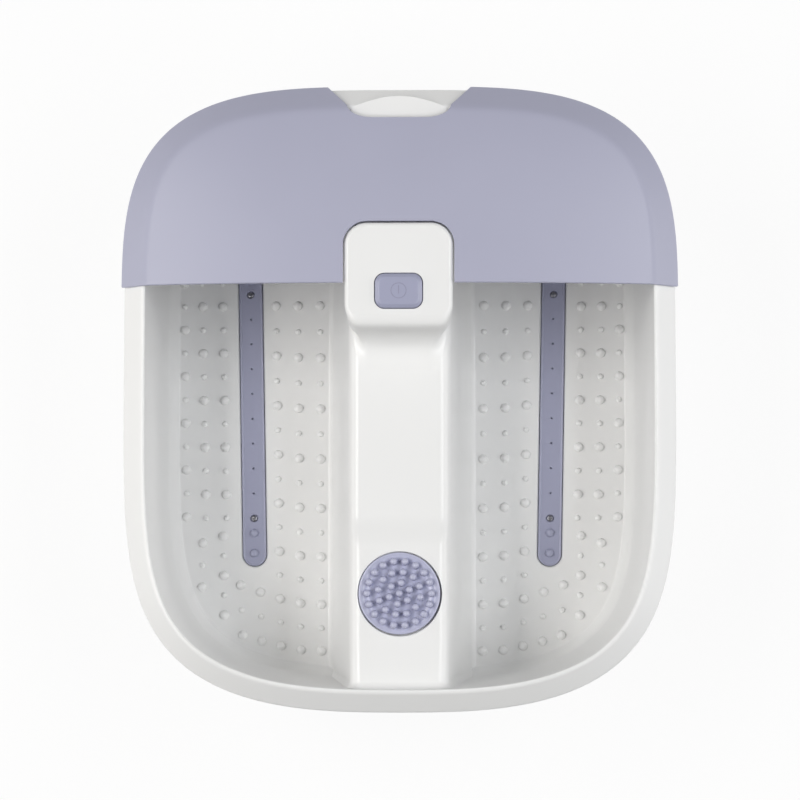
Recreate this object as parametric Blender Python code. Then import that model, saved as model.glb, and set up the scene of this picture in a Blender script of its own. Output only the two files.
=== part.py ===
"""Foot spa bath: a double-walled tub with two foot wells, a lift-off splash guard, air strips,
a lift-out massage disc, a sprung push button, and the blower, motor and heaters under the floor.

Metres, +Z up. +Y points to the rear, where the splash guard lies. The origin is on the surface
that the bath stands on, under the middle of its box.
"""
import math

import bmesh
import bpy
from mathutils import Matrix, Vector

# Clearances and cuts
GAP = 0.0003
OVERRUN = 0.002

# Outline of the rim seen from above: two half superellipses that share the widest line
RIM_HALF_WIDTH = 0.1732
REAR_REACH = 0.1463
FRONT_REACH = 0.2452
REAR_EXPONENT = 3.575
FRONT_EXPONENT_ACROSS = 2.81
FRONT_EXPONENT_ALONG = 5.35
OUTLINE_POINTS = 48

# Tub: rim, outer wall and basin
WALL = 0.0024
CREST_Z = 0.152
CREST_INSET = 0.0126
CREST_LAND = 0.0015
RIM_EDGE_Z = 0.1425
RIM_EDGE_INSET = 0.001
RIM_SIDE_Z = 0.1405
LIP_Z = 0.1335
LIP_ROUND = 0.0018
SKIRT_TOP_Z = 0.130
SKIRT_TOP_INSET = 0.0055
SKIRT_FOOT_Z = 0.006
SKIRT_FOOT_INSET = 0.0175
FLOOR_Z = 0.045
BASIN_TAPER = 0.0064
BASIN_FILLET = 0.004
FILLET_STEPS = 2

# Ridge between the wells
RIDGE_BASE_HALF_WIDTH = 0.0458
RIDGE_TOP_HALF_WIDTH = 0.0314
RIDGE_MID_Z = 0.136
RIDGE_PAD_Z = 0.142
RIDGE_FRONT_Z = 0.146
RIDGE_EDGE_ROUND = 0.003
RIDGE_FILLET = 0.003
RIDGE_RAMP_MARGIN = 0.034
RIDGE_RAMP_LENGTH = 0.010

# Console that carries the switch, at the rear of the ridge
CONSOLE_HALF_WIDTH = 0.0336
CONSOLE_DEPTH = 0.0602
CONSOLE_REAR_MARGIN = 0.0884
CONSOLE_TOP_Z = 0.168
CONSOLE_REAR_RADIUS = 0.0138
CONSOLE_FRONT_RADIUS = 0.007
CONSOLE_EDGE = 0.0014
CONSOLE_ROOT_DROP = 0.019
CORNER_STEPS = 4

# Finger pad on the rear rim
PAD_HALF_LENGTH = 0.031
PAD_BULGE = 0.0073
PAD_RISE = 0.0004
PAD_STEPS = 6
LEDGE_HALF_LENGTH = 0.033
LEDGE_REACH = 0.0018
LEDGE_THICKNESS = 0.0048

# Splash guard
GUARD_WALL = 0.0022
GUARD_OVERHANG = 0.0014
GUARD_CREASE_INSET = 0.0142
GUARD_CROWN = 0.012
GUARD_CROWN_EXPONENT = 2.6
GUARD_FRONT_MARGIN = 0.0225
GUARD_RING_SHARES = (1.0, 0.86, 0.66, 0.42, 0.18)
GUARD_LIFT = 0.08
NOTCH_GAP = 0.0008
GRIP_MOUTH_HALF_WIDTH = 0.044
GRIP_CREASE_HALF_WIDTH = 0.0325
GRIP_BOTTOM_HALF_WIDTH = 0.020
GRIP_CREASE_DEPTH = 0.0139
GRIP_DEPTH = 0.0212

# Air strips in the well floors, and their screws
STRIP_SIDE_MARGIN = 0.0742
STRIP_Y = 0.002
STRIP_SPLAY = math.radians(1.15)
STRIP_WIDTH = 0.016
STRIP_LENGTH = 0.2118
STRIP_THICKNESS = 0.0032
STRIP_POCKET_DEPTH = 0.0026
STRIP_BEVEL = 0.0005
STRIP_END_STEPS = 6
STRIP_HOLE_COUNT = 8
STRIP_HOLE_RADIUS = 0.0005
STRIP_SCREW_MARGIN = 0.0317
STRIP_NUB_MARGINS = (0.0221, 0.0088)
STRIP_NUB_RADIUS = 0.0026
STRIP_NUB_HEIGHT = 0.0019
AIR_GROOVE_WIDTH = 0.006
AIR_GROOVE_DEPTH = 0.002
AIR_PAD_MARGIN = 0.0022
NIPPLE_RADIUS = 0.0036
NIPPLE_BORE = 0.0021
NIPPLE_LENGTH = 0.006

# Massage nubs on the well floors: inner columns fan between ridge and strip, outer ones follow the strip
NUB_RADIUS = 0.0033
NUB_HEIGHT = 0.0019
NUB_SIDES = 6
NUB_REAR_MARGIN = 0.0954
INNER_NUB_SHARES = (0.685, 0.42, 0.15)
INNER_NUB_PITCH = 0.0162
INNER_NUB_COUNT = 9
OUTER_NUB_SPACINGS = (0.0182, 0.0317, 0.0442)
OUTER_NUB_PITCH = 0.0157
OUTER_NUB_COUNT = 6
FRONT_NUB_PITCH = 0.0130
FRONT_NUB_COUNTS = (3, 2)
END_NUB_SPACINGS = (0.0088, -0.0036)
END_NUB_MARGIN = 0.0155
END_NUB_PITCH = 0.0163

# Massage disc and its socket
DISC_FRONT_MARGIN = 0.0739
DISC_RADIUS = 0.0255
DISC_CLEARANCE = 0.0004
DISC_SEAT_DEPTH = 0.005
DISC_STAND = 0.0008
DISC_BAND = 0.0036
DISC_DISH = 0.0008
DISC_STEPS = 24
SPIGOT_RADIUS = 0.008
SPIGOT_LENGTH = 0.008
PEG_RADIUS = 0.00205
PEG_TIP_RADIUS = 0.0015
PEG_HEIGHT = 0.0042
PEG_SIDES = 5
PEG_RINGS = ((1, 0.0, 0.0), (6, 0.255, 19.0), (12, 0.51, 19.0), (18, 0.775, 0.0))
DISC_LIFT = 0.03

# Push button and switch
BUTTON_FRONT_MARGIN = 0.0173
BUTTON_HALF_WIDTH = 0.0147
BUTTON_HALF_DEPTH = 0.0108
BUTTON_RADIUS = 0.006
BUTTON_STAND = 0.002
BUTTON_EDGE = 0.0012
BUTTON_CLEARANCE = 0.0004
BUTTON_FLANGE = 0.0018
BUTTON_FLANGE_THICKNESS = 0.0012
BUTTON_STEM_RADIUS = 0.0032
BUTTON_STEM_LENGTH = 0.006
BUTTON_TRAVEL = 0.002
GASKET_MARGIN = 0.0018
GASKET_THICKNESS = 0.0012
CARRIER_DEPTH = 0.017
CARRIER_WALL = 0.0012
CARRIER_EAR = 0.0085
CARRIER_EAR_HALF_DEPTH = 0.005
CARRIER_BOSS_RADIUS = 0.0028
SWITCH_HALF_SIZE = 0.0065
SWITCH_HEIGHT = 0.006
PLUNGER_RADIUS = 0.0018
PLUNGER_DEPTH = 0.0035
SPRING_RADIUS = 0.0052
SPRING_WIRE = 0.0005
SPRING_TURNS = 3.5
SPRING_POINTS_PER_TURN = 8
SPRING_SIDES = 4

# Base pan, feet and their screws
PAN_Z = 0.0068
PAN_FLOOR = 0.0024
PAN_FLANGE_HEIGHT = 0.007
PAN_FLANGE_WIDTH = 0.0022
FOOT_RADIUS = 0.0105
FOOT_PLUG_RADIUS = 0.0038
FOOT_SIDE_MARGIN = 0.0692
FOOT_FRONT_MARGIN = 0.06845
FOOT_REAR_MARGIN = 0.0491
POST_RADIUS = 0.0042
SIDE_POST_MARGIN = 0.0422
SIDE_POST_SETBACK = 0.0608
END_POST_MARGIN = 0.0162
FRONT_POST_MARGIN = 0.0504
REAR_POST_MARGIN = 0.0371
VENT_COUNT = 6
VENT_PITCH = 0.007
VENT_WIDTH = 0.003
VENT_LENGTH = 0.030
VENT_SETBACK = 0.050

# Screws: the large ones hold the pan, the small ones hold what is light
PAN_SCREW_RADIUS = 0.0015
PAN_SCREW_HEAD = 0.0030
PAN_SCREW_HEAD_HEIGHT = 0.0016
PAN_SCREW_LENGTH = 0.012
SMALL_SCREW_RADIUS = 0.0012
SMALL_SCREW_HEAD = 0.0023
SMALL_SCREW_HEAD_HEIGHT = 0.0013
SMALL_SCREW_LENGTH = 0.0046
SCREW_SIDES = 6
HEAD_SIDES = 8

# Motor with its rotor, and the weight that shakes the bath
MOTOR_Z = 0.056
MOTOR_SPACING = 0.042
CORE_HALF_WIDTH = 0.026
CORE_TOP = 0.019
CORE_DROP = 0.038
CORE_THICKNESS = 0.018
CORE_BAR = 0.005
CORE_WINDOW_HALF_WIDTH = 0.0155
CORE_WINDOW_HEIGHT = 0.0155
COIL_HALF_WIDTH = 0.0146
COIL_THICKNESS = 0.028
COIL_LOWER_WRAP = 0.0025
ROTOR_RADIUS = 0.012
ROTOR_CLEARANCE = 0.0004
SHAFT_RADIUS = 0.002
BRIDGE_HALF_WIDTH = 0.024
BRIDGE_HALF_HEIGHT = 0.005
BRIDGE_REACH = 0.008
BRIDGE_WALL = 0.0026
MOTOR_POST_X = 0.021
WEIGHT_RADIUS = 0.014
WEIGHT_THICKNESS = 0.008
WEIGHT_HUB = 0.0045
SHAFT_END = 0.003

# Blower
BLOWER_RADIUS = 0.031
BLOWER_WALL = 0.0018
BLOWER_LENGTH = 0.026
BLOWER_INLET_RADIUS = 0.012
BLOWER_FOOT_HALF_WIDTH = 0.020
SPOUT_Z = 0.020
SPOUT_REACH = 0.012
DUCT_HALF_WIDTH = 0.010
IMPELLER_RADIUS = 0.026
IMPELLER_PLATE = 0.0016
IMPELLER_HUB = 0.0048
BLADE_COUNT = 8
BLADE_THICKNESS = 0.0012
BLADE_HEIGHT = 0.011
BLADE_SWEEP = math.radians(35)
ROUND_STEPS = 24

# Air hoses from the blower to the strips
HOSE_RADIUS = 0.0054
HOSE_BEND = 0.012
HOSE_BEND_STEPS = 5
HOSE_SIDES = 10

# Heaters under the well floors, and the thermostat
HEATER_SPACING = 0.027
HEATER_HALF_WIDTH = 0.014
HEATER_LENGTH = 0.134
HEATER_PLATE = 0.002
HEATER_ROD_RADIUS = 0.003
HEATER_ROD_SPREAD = 0.0075
HEATER_SCREW_MARGIN = 0.006
HEATER_BOSS_RADIUS = 0.0026
THERMOSTAT_RADIUS = 0.007
THERMOSTAT_HEIGHT = 0.008
THERMOSTAT_MARGIN = 0.0215
HEATER_BEND_MARGIN = 0.044
HEATER_SCREW_HEAD = 0.0045
HEATER_SCREW_LENGTH = 0.0034

# Control board
BOARD_SIDE_MARGIN = 0.0972
BOARD_REAR_MARGIN = 0.0771
BOARD_HALF_WIDTH = 0.028
BOARD_HALF_DEPTH = 0.018
BOARD_THICKNESS = 0.0016
BOARD_POST_HEIGHT = 0.008
BOARD_POST_RADIUS = 0.003
BOARD_POST_MARGIN = 0.004
CAPACITOR_HALF_WIDTH = 0.009
CAPACITOR_HALF_DEPTH = 0.0045
CAPACITOR_HEIGHT = 0.013
TERMINAL_HALF_WIDTH = 0.010
TERMINAL_HALF_DEPTH = 0.005
TERMINAL_HEIGHT = 0.010

# Gland for the mains lead in the rear wall
GLAND_Z = 0.026
GLAND_NECK = 0.0055
GLAND_FLANGE = 0.0085
GLAND_FLANGE_THICKNESS = 0.0025
GLAND_BORE = 0.0034
GLAND_TAIL = 0.006

# Worked out from the sizes above
WIDEST_Y = (FRONT_REACH - REAR_REACH - GUARD_OVERHANG) / 2
REAR_Y = WIDEST_Y + REAR_REACH
FRONT_Y = WIDEST_Y - FRONT_REACH
RIM_SLOPE = (CREST_Z - RIM_EDGE_Z) / (CREST_INSET - RIM_EDGE_INSET)
RIM_NORMAL_RISE = math.hypot(1, RIM_SLOPE)
BASIN_INSET = CREST_INSET + CREST_LAND
CONSOLE_REAR_Y = REAR_Y - CONSOLE_REAR_MARGIN
CONSOLE_FRONT_Y = CONSOLE_REAR_Y - CONSOLE_DEPTH
BUTTON_Y = CONSOLE_FRONT_Y + BUTTON_FRONT_MARGIN
GUARD_FRONT_Y = CONSOLE_FRONT_Y + GUARD_FRONT_MARGIN
DISC_Y = FRONT_Y + DISC_FRONT_MARGIN
RIDGE_RAMP_FRONT_Y = DISC_Y + RIDGE_RAMP_MARGIN
RIDGE_RAMP_REAR_Y = RIDGE_RAMP_FRONT_Y + RIDGE_RAMP_LENGTH
STRIP_X = RIM_HALF_WIDTH - STRIP_SIDE_MARGIN
STRIP_SCREW_REACH = STRIP_LENGTH / 2 - STRIP_SCREW_MARGIN
STRIP_HOLE_PITCH = 2 * STRIP_SCREW_REACH / (STRIP_HOLE_COUNT + 1)
HEATER_X = STRIP_X - HEATER_SPACING
HEATER_REAR_Y = HEATER_LENGTH / 2 - HEATER_SCREW_MARGIN
HEATER_FRONT_Y = HEATER_REAR_Y - HEATER_LENGTH
MOTOR_Y = STRIP_Y - MOTOR_SPACING
VENT_Y = STRIP_Y + VENT_SETBACK
BOARD_X = BOARD_SIDE_MARGIN - RIM_HALF_WIDTH
BOARD_Y = REAR_Y - BOARD_REAR_MARGIN
FLOOR_UNDER_Z = FLOOR_Z - WALL
PAN_TOP_Z = PAN_Z + PAN_FLOOR
STRIP_SEAT_Z = FLOOR_Z - STRIP_POCKET_DEPTH
AIR_PAD_Z = STRIP_SEAT_Z - AIR_GROOVE_DEPTH - WALL
CONSOLE_ROOT_Z = RIDGE_MID_Z - CONSOLE_ROOT_DROP
CONSOLE_CEILING_Z = CONSOLE_TOP_Z - WALL
BLOWER_Y = STRIP_Y
BLOWER_FRONT_Y = BLOWER_Y - BLOWER_LENGTH / 2
BLOWER_REAR_Y = BLOWER_Y + BLOWER_LENGTH / 2


def plastic(name, colour, roughness, metallic=0.0):
    """A Principled material of one colour."""
    material = bpy.data.materials.new(name)
    material.use_nodes = True
    shader = material.node_tree.nodes["Principled BSDF"]
    shader.inputs["Base Color"].default_value = (*colour, 1.0)
    shader.inputs["Roughness"].default_value = roughness
    shader.inputs["Metallic"].default_value = metallic
    return material


def clear_scene():
    """Remove every object that the file holds."""
    for obj in list(bpy.data.objects):
        bpy.data.objects.remove(obj, do_unlink=True)


def finish_object(name, bm, material=None, smooth_degrees=35):
    """Turn a bmesh into a named object with its faces pointing out and no bent face."""
    bmesh.ops.recalc_face_normals(bm, faces=bm.faces)
    bmesh.ops.triangulate(bm, faces=[face for face in bm.faces if len(face.verts) == 4])
    mesh = bpy.data.meshes.new(name)
    bm.to_mesh(mesh)
    bm.free()
    mesh.shade_smooth()
    mesh.set_sharp_from_angle(angle=math.radians(smooth_degrees))
    if material:
        mesh.materials.append(material)
    obj = bpy.data.objects.new(name, mesh)
    bpy.context.collection.objects.link(obj)
    return obj


def set_origin(obj, point):
    """Move an object's origin to a point and leave its shape where it is."""
    obj.data.transform(Matrix.Translation(-Vector(point)))
    obj.location = point


def combine(target, tool, operation="DIFFERENCE"):
    """Cut or join with a helper object that the finished model leaves out."""
    tool.hide_render = True
    tool.display_type = "WIRE"
    modifier = target.modifiers.new(tool.name, "BOOLEAN")
    modifier.operation = operation
    modifier.solver = "EXACT"
    modifier.object = tool


def add_loft(bm, rings, matrix=None):
    """Join rings of equal count into one closed solid with flat ends."""
    rows = []
    for ring in rings:
        points = [Vector(point) for point in ring]
        if matrix:
            points = [matrix @ point for point in points]
        rows.append([bm.verts.new(point) for point in points])
    count = len(rows[0])
    for lower, upper in zip(rows, rows[1:]):
        for index in range(count):
            following = (index + 1) % count
            bm.faces.new((lower[index], lower[following], upper[following], upper[index]))
    bm.faces.new(list(reversed(rows[0])))
    bm.faces.new(rows[-1])


def add_prism(bm, outline, low_z, high_z, matrix=None):
    """A flat outline raised between two heights."""
    add_loft(bm, [[(x, y, z) for x, y in outline] for z in (low_z, high_z)], matrix)


def circle(radius, sides, centre=(0, 0), phase=0.0):
    """Points of a circle, from an angle that the phase gives."""
    angles = [phase + 2 * math.pi * index / sides for index in range(sides)]
    return [(centre[0] + radius * math.cos(a), centre[1] + radius * math.sin(a)) for a in angles]


def add_turned(bm, profile, sides, matrix=None):
    """A solid turned about Z from (radius, z) pairs that start and end off the axis."""
    rings = [[(x, y, z) for x, y in circle(radius, sides)] for radius, z in profile]
    add_loft(bm, rings, matrix)


def add_box(bm, low, high):
    """A box between two corners."""
    outline = [(low[0], low[1]), (high[0], low[1]), (high[0], high[1]), (low[0], high[1])]
    add_prism(bm, outline, low[2], high[2])


def at(x, y, z=0.0):
    """A move to a place."""
    return Matrix.Translation((x, y, z))


def along_y(x, y, z):
    """A turn that lays Z along +Y, then a move to a place."""
    return at(x, y, z) @ Matrix.Rotation(-math.pi / 2, 4, "X")


def along_x(x, y, z, side):
    """A turn that lays Z along X, towards the given side, then a move to a place."""
    return at(x, y, z) @ Matrix.Rotation(side * math.pi / 2, 4, "Y")


def corner(centre, radius, start_degrees, steps):
    """A quarter circle, counter-clockwise from the start angle."""
    angles = [math.radians(start_degrees + 90 * step / steps) for step in range(steps + 1)]
    return [(centre[0] + radius * math.cos(a), centre[1] + radius * math.sin(a)) for a in angles]


def rounded_box(half_width, front_y, rear_y, front_radius, rear_radius, inset=0.0):
    """A rectangle seen from above, with its own radius at the front and at the rear."""
    half, front, rear = half_width - inset, front_y + inset, rear_y - inset
    small, large = front_radius - inset, rear_radius - inset
    points = corner((half - large, rear - large), large, 0, CORNER_STEPS)
    points += corner((-half + large, rear - large), large, 90, CORNER_STEPS)
    points += corner((-half + small, front + small), small, 180, CORNER_STEPS)
    points += corner((half - small, front + small), small, 270, CORNER_STEPS)
    return points


def signed_power(value, exponent):
    """A power that keeps the sign of its base."""
    return math.copysign(abs(value) ** exponent, value)


def rim_point(angle, inset):
    """A point of the rim outline, moved inwards along the outline's own normal."""
    rear = math.sin(angle) >= 0
    across = REAR_EXPONENT if rear else FRONT_EXPONENT_ACROSS
    along = REAR_EXPONENT if rear else FRONT_EXPONENT_ALONG
    reach = REAR_REACH if rear else FRONT_REACH
    u = signed_power(math.cos(angle), 2 / across)
    v = signed_power(math.sin(angle), 2 / along)
    normal = Vector((across * signed_power(u, across - 1) / RIM_HALF_WIDTH,
                     along * signed_power(v, along - 1) / reach))
    normal.normalize()
    return u * RIM_HALF_WIDTH - inset * normal.x, WIDEST_Y + v * reach - inset * normal.y


def rim_ring(inset, z):
    """The rim outline at an inset and a height."""
    angles = [2 * math.pi * index / OUTLINE_POINTS for index in range(OUTLINE_POINTS)]
    return [(*rim_point(angle, inset), z) for angle in angles]


def rim_line(inset, lift=0.0):
    """Height of the sloping rim at an inset, lifted square to its surface."""
    return RIM_EDGE_Z + (inset - RIM_EDGE_INSET) * RIM_SLOPE + lift * RIM_NORMAL_RISE


def skirt_inset(z, wall=0.0):
    """Inset of the tub's outer wall at a height, or of its inner face."""
    share = (z - SKIRT_FOOT_Z) / (SKIRT_TOP_Z - SKIRT_FOOT_Z)
    return SKIRT_FOOT_INSET + share * (SKIRT_TOP_INSET - SKIRT_FOOT_INSET) + wall


def basin_rings(grown):
    """Rings of the basin wall from the crest down to the floor, all grown outwards by one amount."""
    centre_inset, centre_z = BASIN_INSET + BASIN_TAPER + BASIN_FILLET, FLOOR_Z + BASIN_FILLET
    radius = BASIN_FILLET + grown
    top_z = CREST_Z if grown == 0 else rim_line(BASIN_INSET - grown, -grown)
    rings = [rim_ring(BASIN_INSET - grown, top_z)]
    for step in range(FILLET_STEPS + 1):
        angle = math.pi / 2 * step / FILLET_STEPS
        rings.append(rim_ring(centre_inset - radius * math.cos(angle), centre_z - radius * math.sin(angle)))
    return rings


def tub_body():
    """The double-walled tub without its ridge: one skin from under the floor round to its top."""
    side_inset = SKIRT_TOP_INSET + WALL
    inner = ((side_inset, rim_line(side_inset, -WALL)), (side_inset, SKIRT_TOP_Z),
             (SKIRT_FOOT_INSET + WALL, SKIRT_FOOT_Z))
    outer = ((SKIRT_FOOT_INSET, SKIRT_FOOT_Z), (SKIRT_TOP_INSET, SKIRT_TOP_Z),
             (RIM_EDGE_INSET, LIP_Z - LIP_ROUND), (0.0, LIP_Z), (0.0, RIM_SIDE_Z),
             (RIM_EDGE_INSET, RIM_EDGE_Z), (CREST_INSET, CREST_Z))
    rings = list(reversed(basin_rings(WALL)))
    rings += [rim_ring(inset, z) for inset, z in inner + outer]
    rings += basin_rings(0.0)
    bm = bmesh.new()
    add_loft(bm, rings)
    return bm


def ridge_half_width(z):
    """Half the ridge's width at a height, on its sloping side."""
    share = (z - FLOOR_Z) / (RIDGE_MID_Z - FLOOR_Z)
    return RIDGE_BASE_HALF_WIDTH + share * (RIDGE_TOP_HALF_WIDTH - RIDGE_BASE_HALF_WIDTH)


def ridge_section(y, top_z, shrink, low_z, lean):
    """The ridge's cross-section at one place, flared at the floor where it isn't shrunk."""
    top = top_z - shrink
    half = []
    if shrink == 0:
        for degrees in (15, 45, 75):
            angle = math.radians(degrees)
            z = FLOOR_Z + RIDGE_FILLET * (1 - math.cos(angle))
            half.append((ridge_half_width(z) + RIDGE_FILLET * (1 - math.sin(angle)), z))
    for degrees in (0, 45, 90):
        angle = math.radians(degrees)
        z = top - RIDGE_EDGE_ROUND * (1 - math.sin(angle))
        half.append((ridge_half_width(z) - shrink - RIDGE_EDGE_ROUND * (1 - math.cos(angle)), z))
    half.insert(0, (half[0][0] if shrink == 0 else ridge_half_width(low_z) - shrink, low_z))
    outline = half + [(-x, z) for x, z in reversed(half)]
    return [(x, y + lean * (CREST_Z - z), z) for x, z in outline]


def add_ridge(bm, shrink, end_inset, low_z):
    """The ridge from wall to wall, its ends leaning with the walls, with a ramp up to the disc."""
    lean = BASIN_TAPER / (CREST_Z - FLOOR_Z - BASIN_FILLET)
    stations = ((FRONT_Y + end_inset, RIDGE_FRONT_Z, lean),
                (DISC_Y - DISC_RADIUS - WALL, RIDGE_PAD_Z, 0.0),
                (RIDGE_RAMP_FRONT_Y, RIDGE_PAD_Z, 0.0), (RIDGE_RAMP_REAR_Y, RIDGE_MID_Z, 0.0),
                (REAR_Y - end_inset, RIDGE_MID_Z, -lean))
    add_loft(bm, [ridge_section(y, top_z, shrink, low_z, lean) for y, top_z, lean in stations])


def fill_ridge(bm):
    """The ridge as it stands in the basin, its ends just inside the basin's wall."""
    add_ridge(bm, 0.0, BASIN_INSET - WALL / 4, FLOOR_Z - WALL / 2)


def fill_tunnel(bm):
    """The hollow inside the ridge, open below and into the gap between the walls."""
    add_ridge(bm, WALL, BASIN_INSET - WALL - GAP, FLOOR_UNDER_Z - OVERRUN)


def helper(name, fill):
    """A helper object whose mesh the given function fills."""
    bm = bmesh.new()
    fill(bm)
    return finish_object(name, bm)


def console_outline(inset=0.0):
    """The console seen from above."""
    return rounded_box(CONSOLE_HALF_WIDTH, CONSOLE_FRONT_Y, CONSOLE_REAR_Y,
                       CONSOLE_FRONT_RADIUS, CONSOLE_REAR_RADIUS, inset)


def fill_console(bm):
    """The console block, with a bevelled top edge."""
    levels = ((0.0, CONSOLE_ROOT_Z), (0.0, CONSOLE_TOP_Z - CONSOLE_EDGE), (CONSOLE_EDGE, CONSOLE_TOP_Z))
    add_loft(bm, [[(x, y, z) for x, y in console_outline(inset)] for inset, z in levels])


def strip_matrix(side):
    """Where an air strip lies: side is -1 on the left and 1 on the right."""
    return at(side * STRIP_X, STRIP_Y) @ Matrix.Rotation(-side * STRIP_SPLAY, 4, "Z")


def stadium(width, length):
    """A long outline with half-round ends, along Y."""
    radius, reach = width / 2, (length - width) / 2
    angles = [math.pi * step / STRIP_END_STEPS for step in range(STRIP_END_STEPS + 1)]
    rear = [(radius * math.cos(a), reach + radius * math.sin(a)) for a in angles]
    front = [(-x, -y) for x, y in rear]
    return rear + front


def disc_floor_z():
    """Height of the socket's floor, under the massage disc."""
    return RIDGE_PAD_Z - DISC_SEAT_DEPTH


def pan_posts():
    """Where the pan's screws go up into the tub."""
    end_x = RIDGE_BASE_HALF_WIDTH + END_POST_MARGIN
    places = [(RIM_HALF_WIDTH - SIDE_POST_MARGIN, WIDEST_Y - SIDE_POST_SETBACK),
              (end_x, FRONT_Y + FRONT_POST_MARGIN), (end_x, REAR_Y - REAR_POST_MARGIN)]
    return [(side * x, y) for x, y in places for side in (-1, 1)]


def heater_screw_places():
    """Where the heater plates are screwed to the floor."""
    rear, front = HEATER_REAR_Y - HEATER_SCREW_MARGIN, HEATER_FRONT_Y + HEATER_SCREW_MARGIN
    return [(side * HEATER_X, y) for side in (-1, 1) for y in (front, rear)]


def carrier_half_width():
    """Half the width of the switch carrier's frame."""
    return BUTTON_HALF_WIDTH + BUTTON_FLANGE + GASKET_MARGIN


def carrier_half_depth():
    """Half the depth of the switch carrier's frame."""
    return BUTTON_HALF_DEPTH + BUTTON_FLANGE + GASKET_MARGIN


def carrier_ear_x():
    """Where the carrier's screws stand, beside its frame."""
    return carrier_half_width() + CARRIER_EAR / 2


def gland_matrix():
    """A frame on the outside of the rear wall, with Z pointing out, square to the wall."""
    lean = math.atan2(SKIRT_FOOT_INSET - SKIRT_TOP_INSET, SKIRT_TOP_Z - SKIRT_FOOT_Z)
    place = Matrix.Translation((0, REAR_Y - skirt_inset(GLAND_Z), GLAND_Z))
    return place @ Matrix.Rotation(-math.pi / 2 - lean, 4, "X")


def fill_console_hollow(bm):
    """The hollow inside the console, down to where it meets the ridge's own hollow."""
    add_prism(bm, console_outline(WALL), CONSOLE_ROOT_Z + GAP, CONSOLE_CEILING_Z)


def fill_tub_pads(bm):
    """Moulded pads under the floor, posts, the disc's cup, bosses and the ledge behind the finger notch."""
    for side in (-1, 1):
        pad = stadium(STRIP_WIDTH + 2 * AIR_PAD_MARGIN, STRIP_LENGTH + 2 * AIR_PAD_MARGIN)
        add_prism(bm, pad, AIR_PAD_Z, FLOOR_UNDER_Z + WALL / 2, strip_matrix(side))
    for x, y in pan_posts():
        add_prism(bm, circle(POST_RADIUS, SCREW_SIDES, (x, y)), PAN_TOP_Z + GAP, FLOOR_UNDER_Z + WALL / 2)
    cup = circle(DISC_RADIUS + DISC_CLEARANCE + WALL, DISC_STEPS, (0, DISC_Y))
    add_prism(bm, cup, disc_floor_z() - WALL, RIDGE_PAD_Z - WALL / 2)
    for x in (-carrier_ear_x(), carrier_ear_x()):
        boss = circle(CARRIER_BOSS_RADIUS, SCREW_SIDES, (x, BUTTON_Y))
        add_prism(bm, boss, carrier_floor_z() + GAP, CONSOLE_CEILING_Z + WALL / 2)
    ledge_front_y = REAR_Y + GUARD_OVERHANG - GRIP_DEPTH - LEDGE_REACH
    ledge_rear_y = REAR_Y - BASIN_INSET + WALL / 2
    add_box(bm, (-LEDGE_HALF_LENGTH, ledge_front_y, CREST_Z - GAP - LEDGE_THICKNESS),
            (LEDGE_HALF_LENGTH, ledge_rear_y, CREST_Z - GAP))


def carrier_floor_z():
    """Height of the top face of the switch carrier's floor."""
    return CONSOLE_CEILING_Z - CARRIER_DEPTH


def fill_lower_parts(bm):
    """The spigot's cup, the air nipples and the finger pad."""
    cup = circle(SPIGOT_RADIUS + DISC_CLEARANCE + WALL, DISC_STEPS // 2, (0, DISC_Y))
    add_prism(bm, cup, disc_floor_z() - SPIGOT_LENGTH - WALL, disc_floor_z() - WALL / 2)
    for side in (-1, 1):
        nipple = circle(NIPPLE_RADIUS, HOSE_SIDES, (side * STRIP_X, STRIP_Y))
        add_prism(bm, nipple, AIR_PAD_Z - NIPPLE_LENGTH, AIR_PAD_Z + WALL / 2)
    add_prism(bm, finger_pad_outline(), rim_line(CREST_INSET - PAD_BULGE, -WALL / 2), CREST_Z + PAD_RISE)
    for x, y in heater_screw_places():
        boss = circle(HEATER_BOSS_RADIUS, SCREW_SIDES, (x, y))
        add_prism(bm, boss, heater_plate_low_z(), FLOOR_UNDER_Z + WALL / 2)


def finger_pad_outline():
    """A shallow arc that swells the crest of the rear rim outwards."""
    chord_y = REAR_Y - CREST_INSET - CREST_LAND / 2
    points = [(PAD_HALF_LENGTH, chord_y - CREST_LAND / 4), (PAD_HALF_LENGTH, chord_y)]
    for step in range(1, PAD_STEPS):
        share = step / PAD_STEPS
        points.append((PAD_HALF_LENGTH * (1 - 2 * share), chord_y + PAD_BULGE * math.sin(math.pi * share)))
    points += [(-PAD_HALF_LENGTH, chord_y), (-PAD_HALF_LENGTH, chord_y - CREST_LAND / 4)]
    return points


def strip_line_x(y):
    """Where a strip's middle line runs at a distance along the bath."""
    return STRIP_X + (y - STRIP_Y) * math.tan(STRIP_SPLAY)


def nub_low_radius():
    """Radius of a nub where its sides start, inside the floor."""
    return NUB_RADIUS * (NUB_HEIGHT + WALL / 2) / NUB_HEIGHT


def nubs_with_room(places):
    """The places that are clear of the ridge's foot and of the places before them."""
    kept = []
    for x, y in places:
        clear = all(math.hypot(x - u, y - v) > 2 * nub_low_radius() + GAP for u, v in kept)
        if clear and x - NUB_RADIUS > RIDGE_BASE_HALF_WIDTH + RIDGE_FILLET:
            kept.append((x, y))
    return kept


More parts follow.
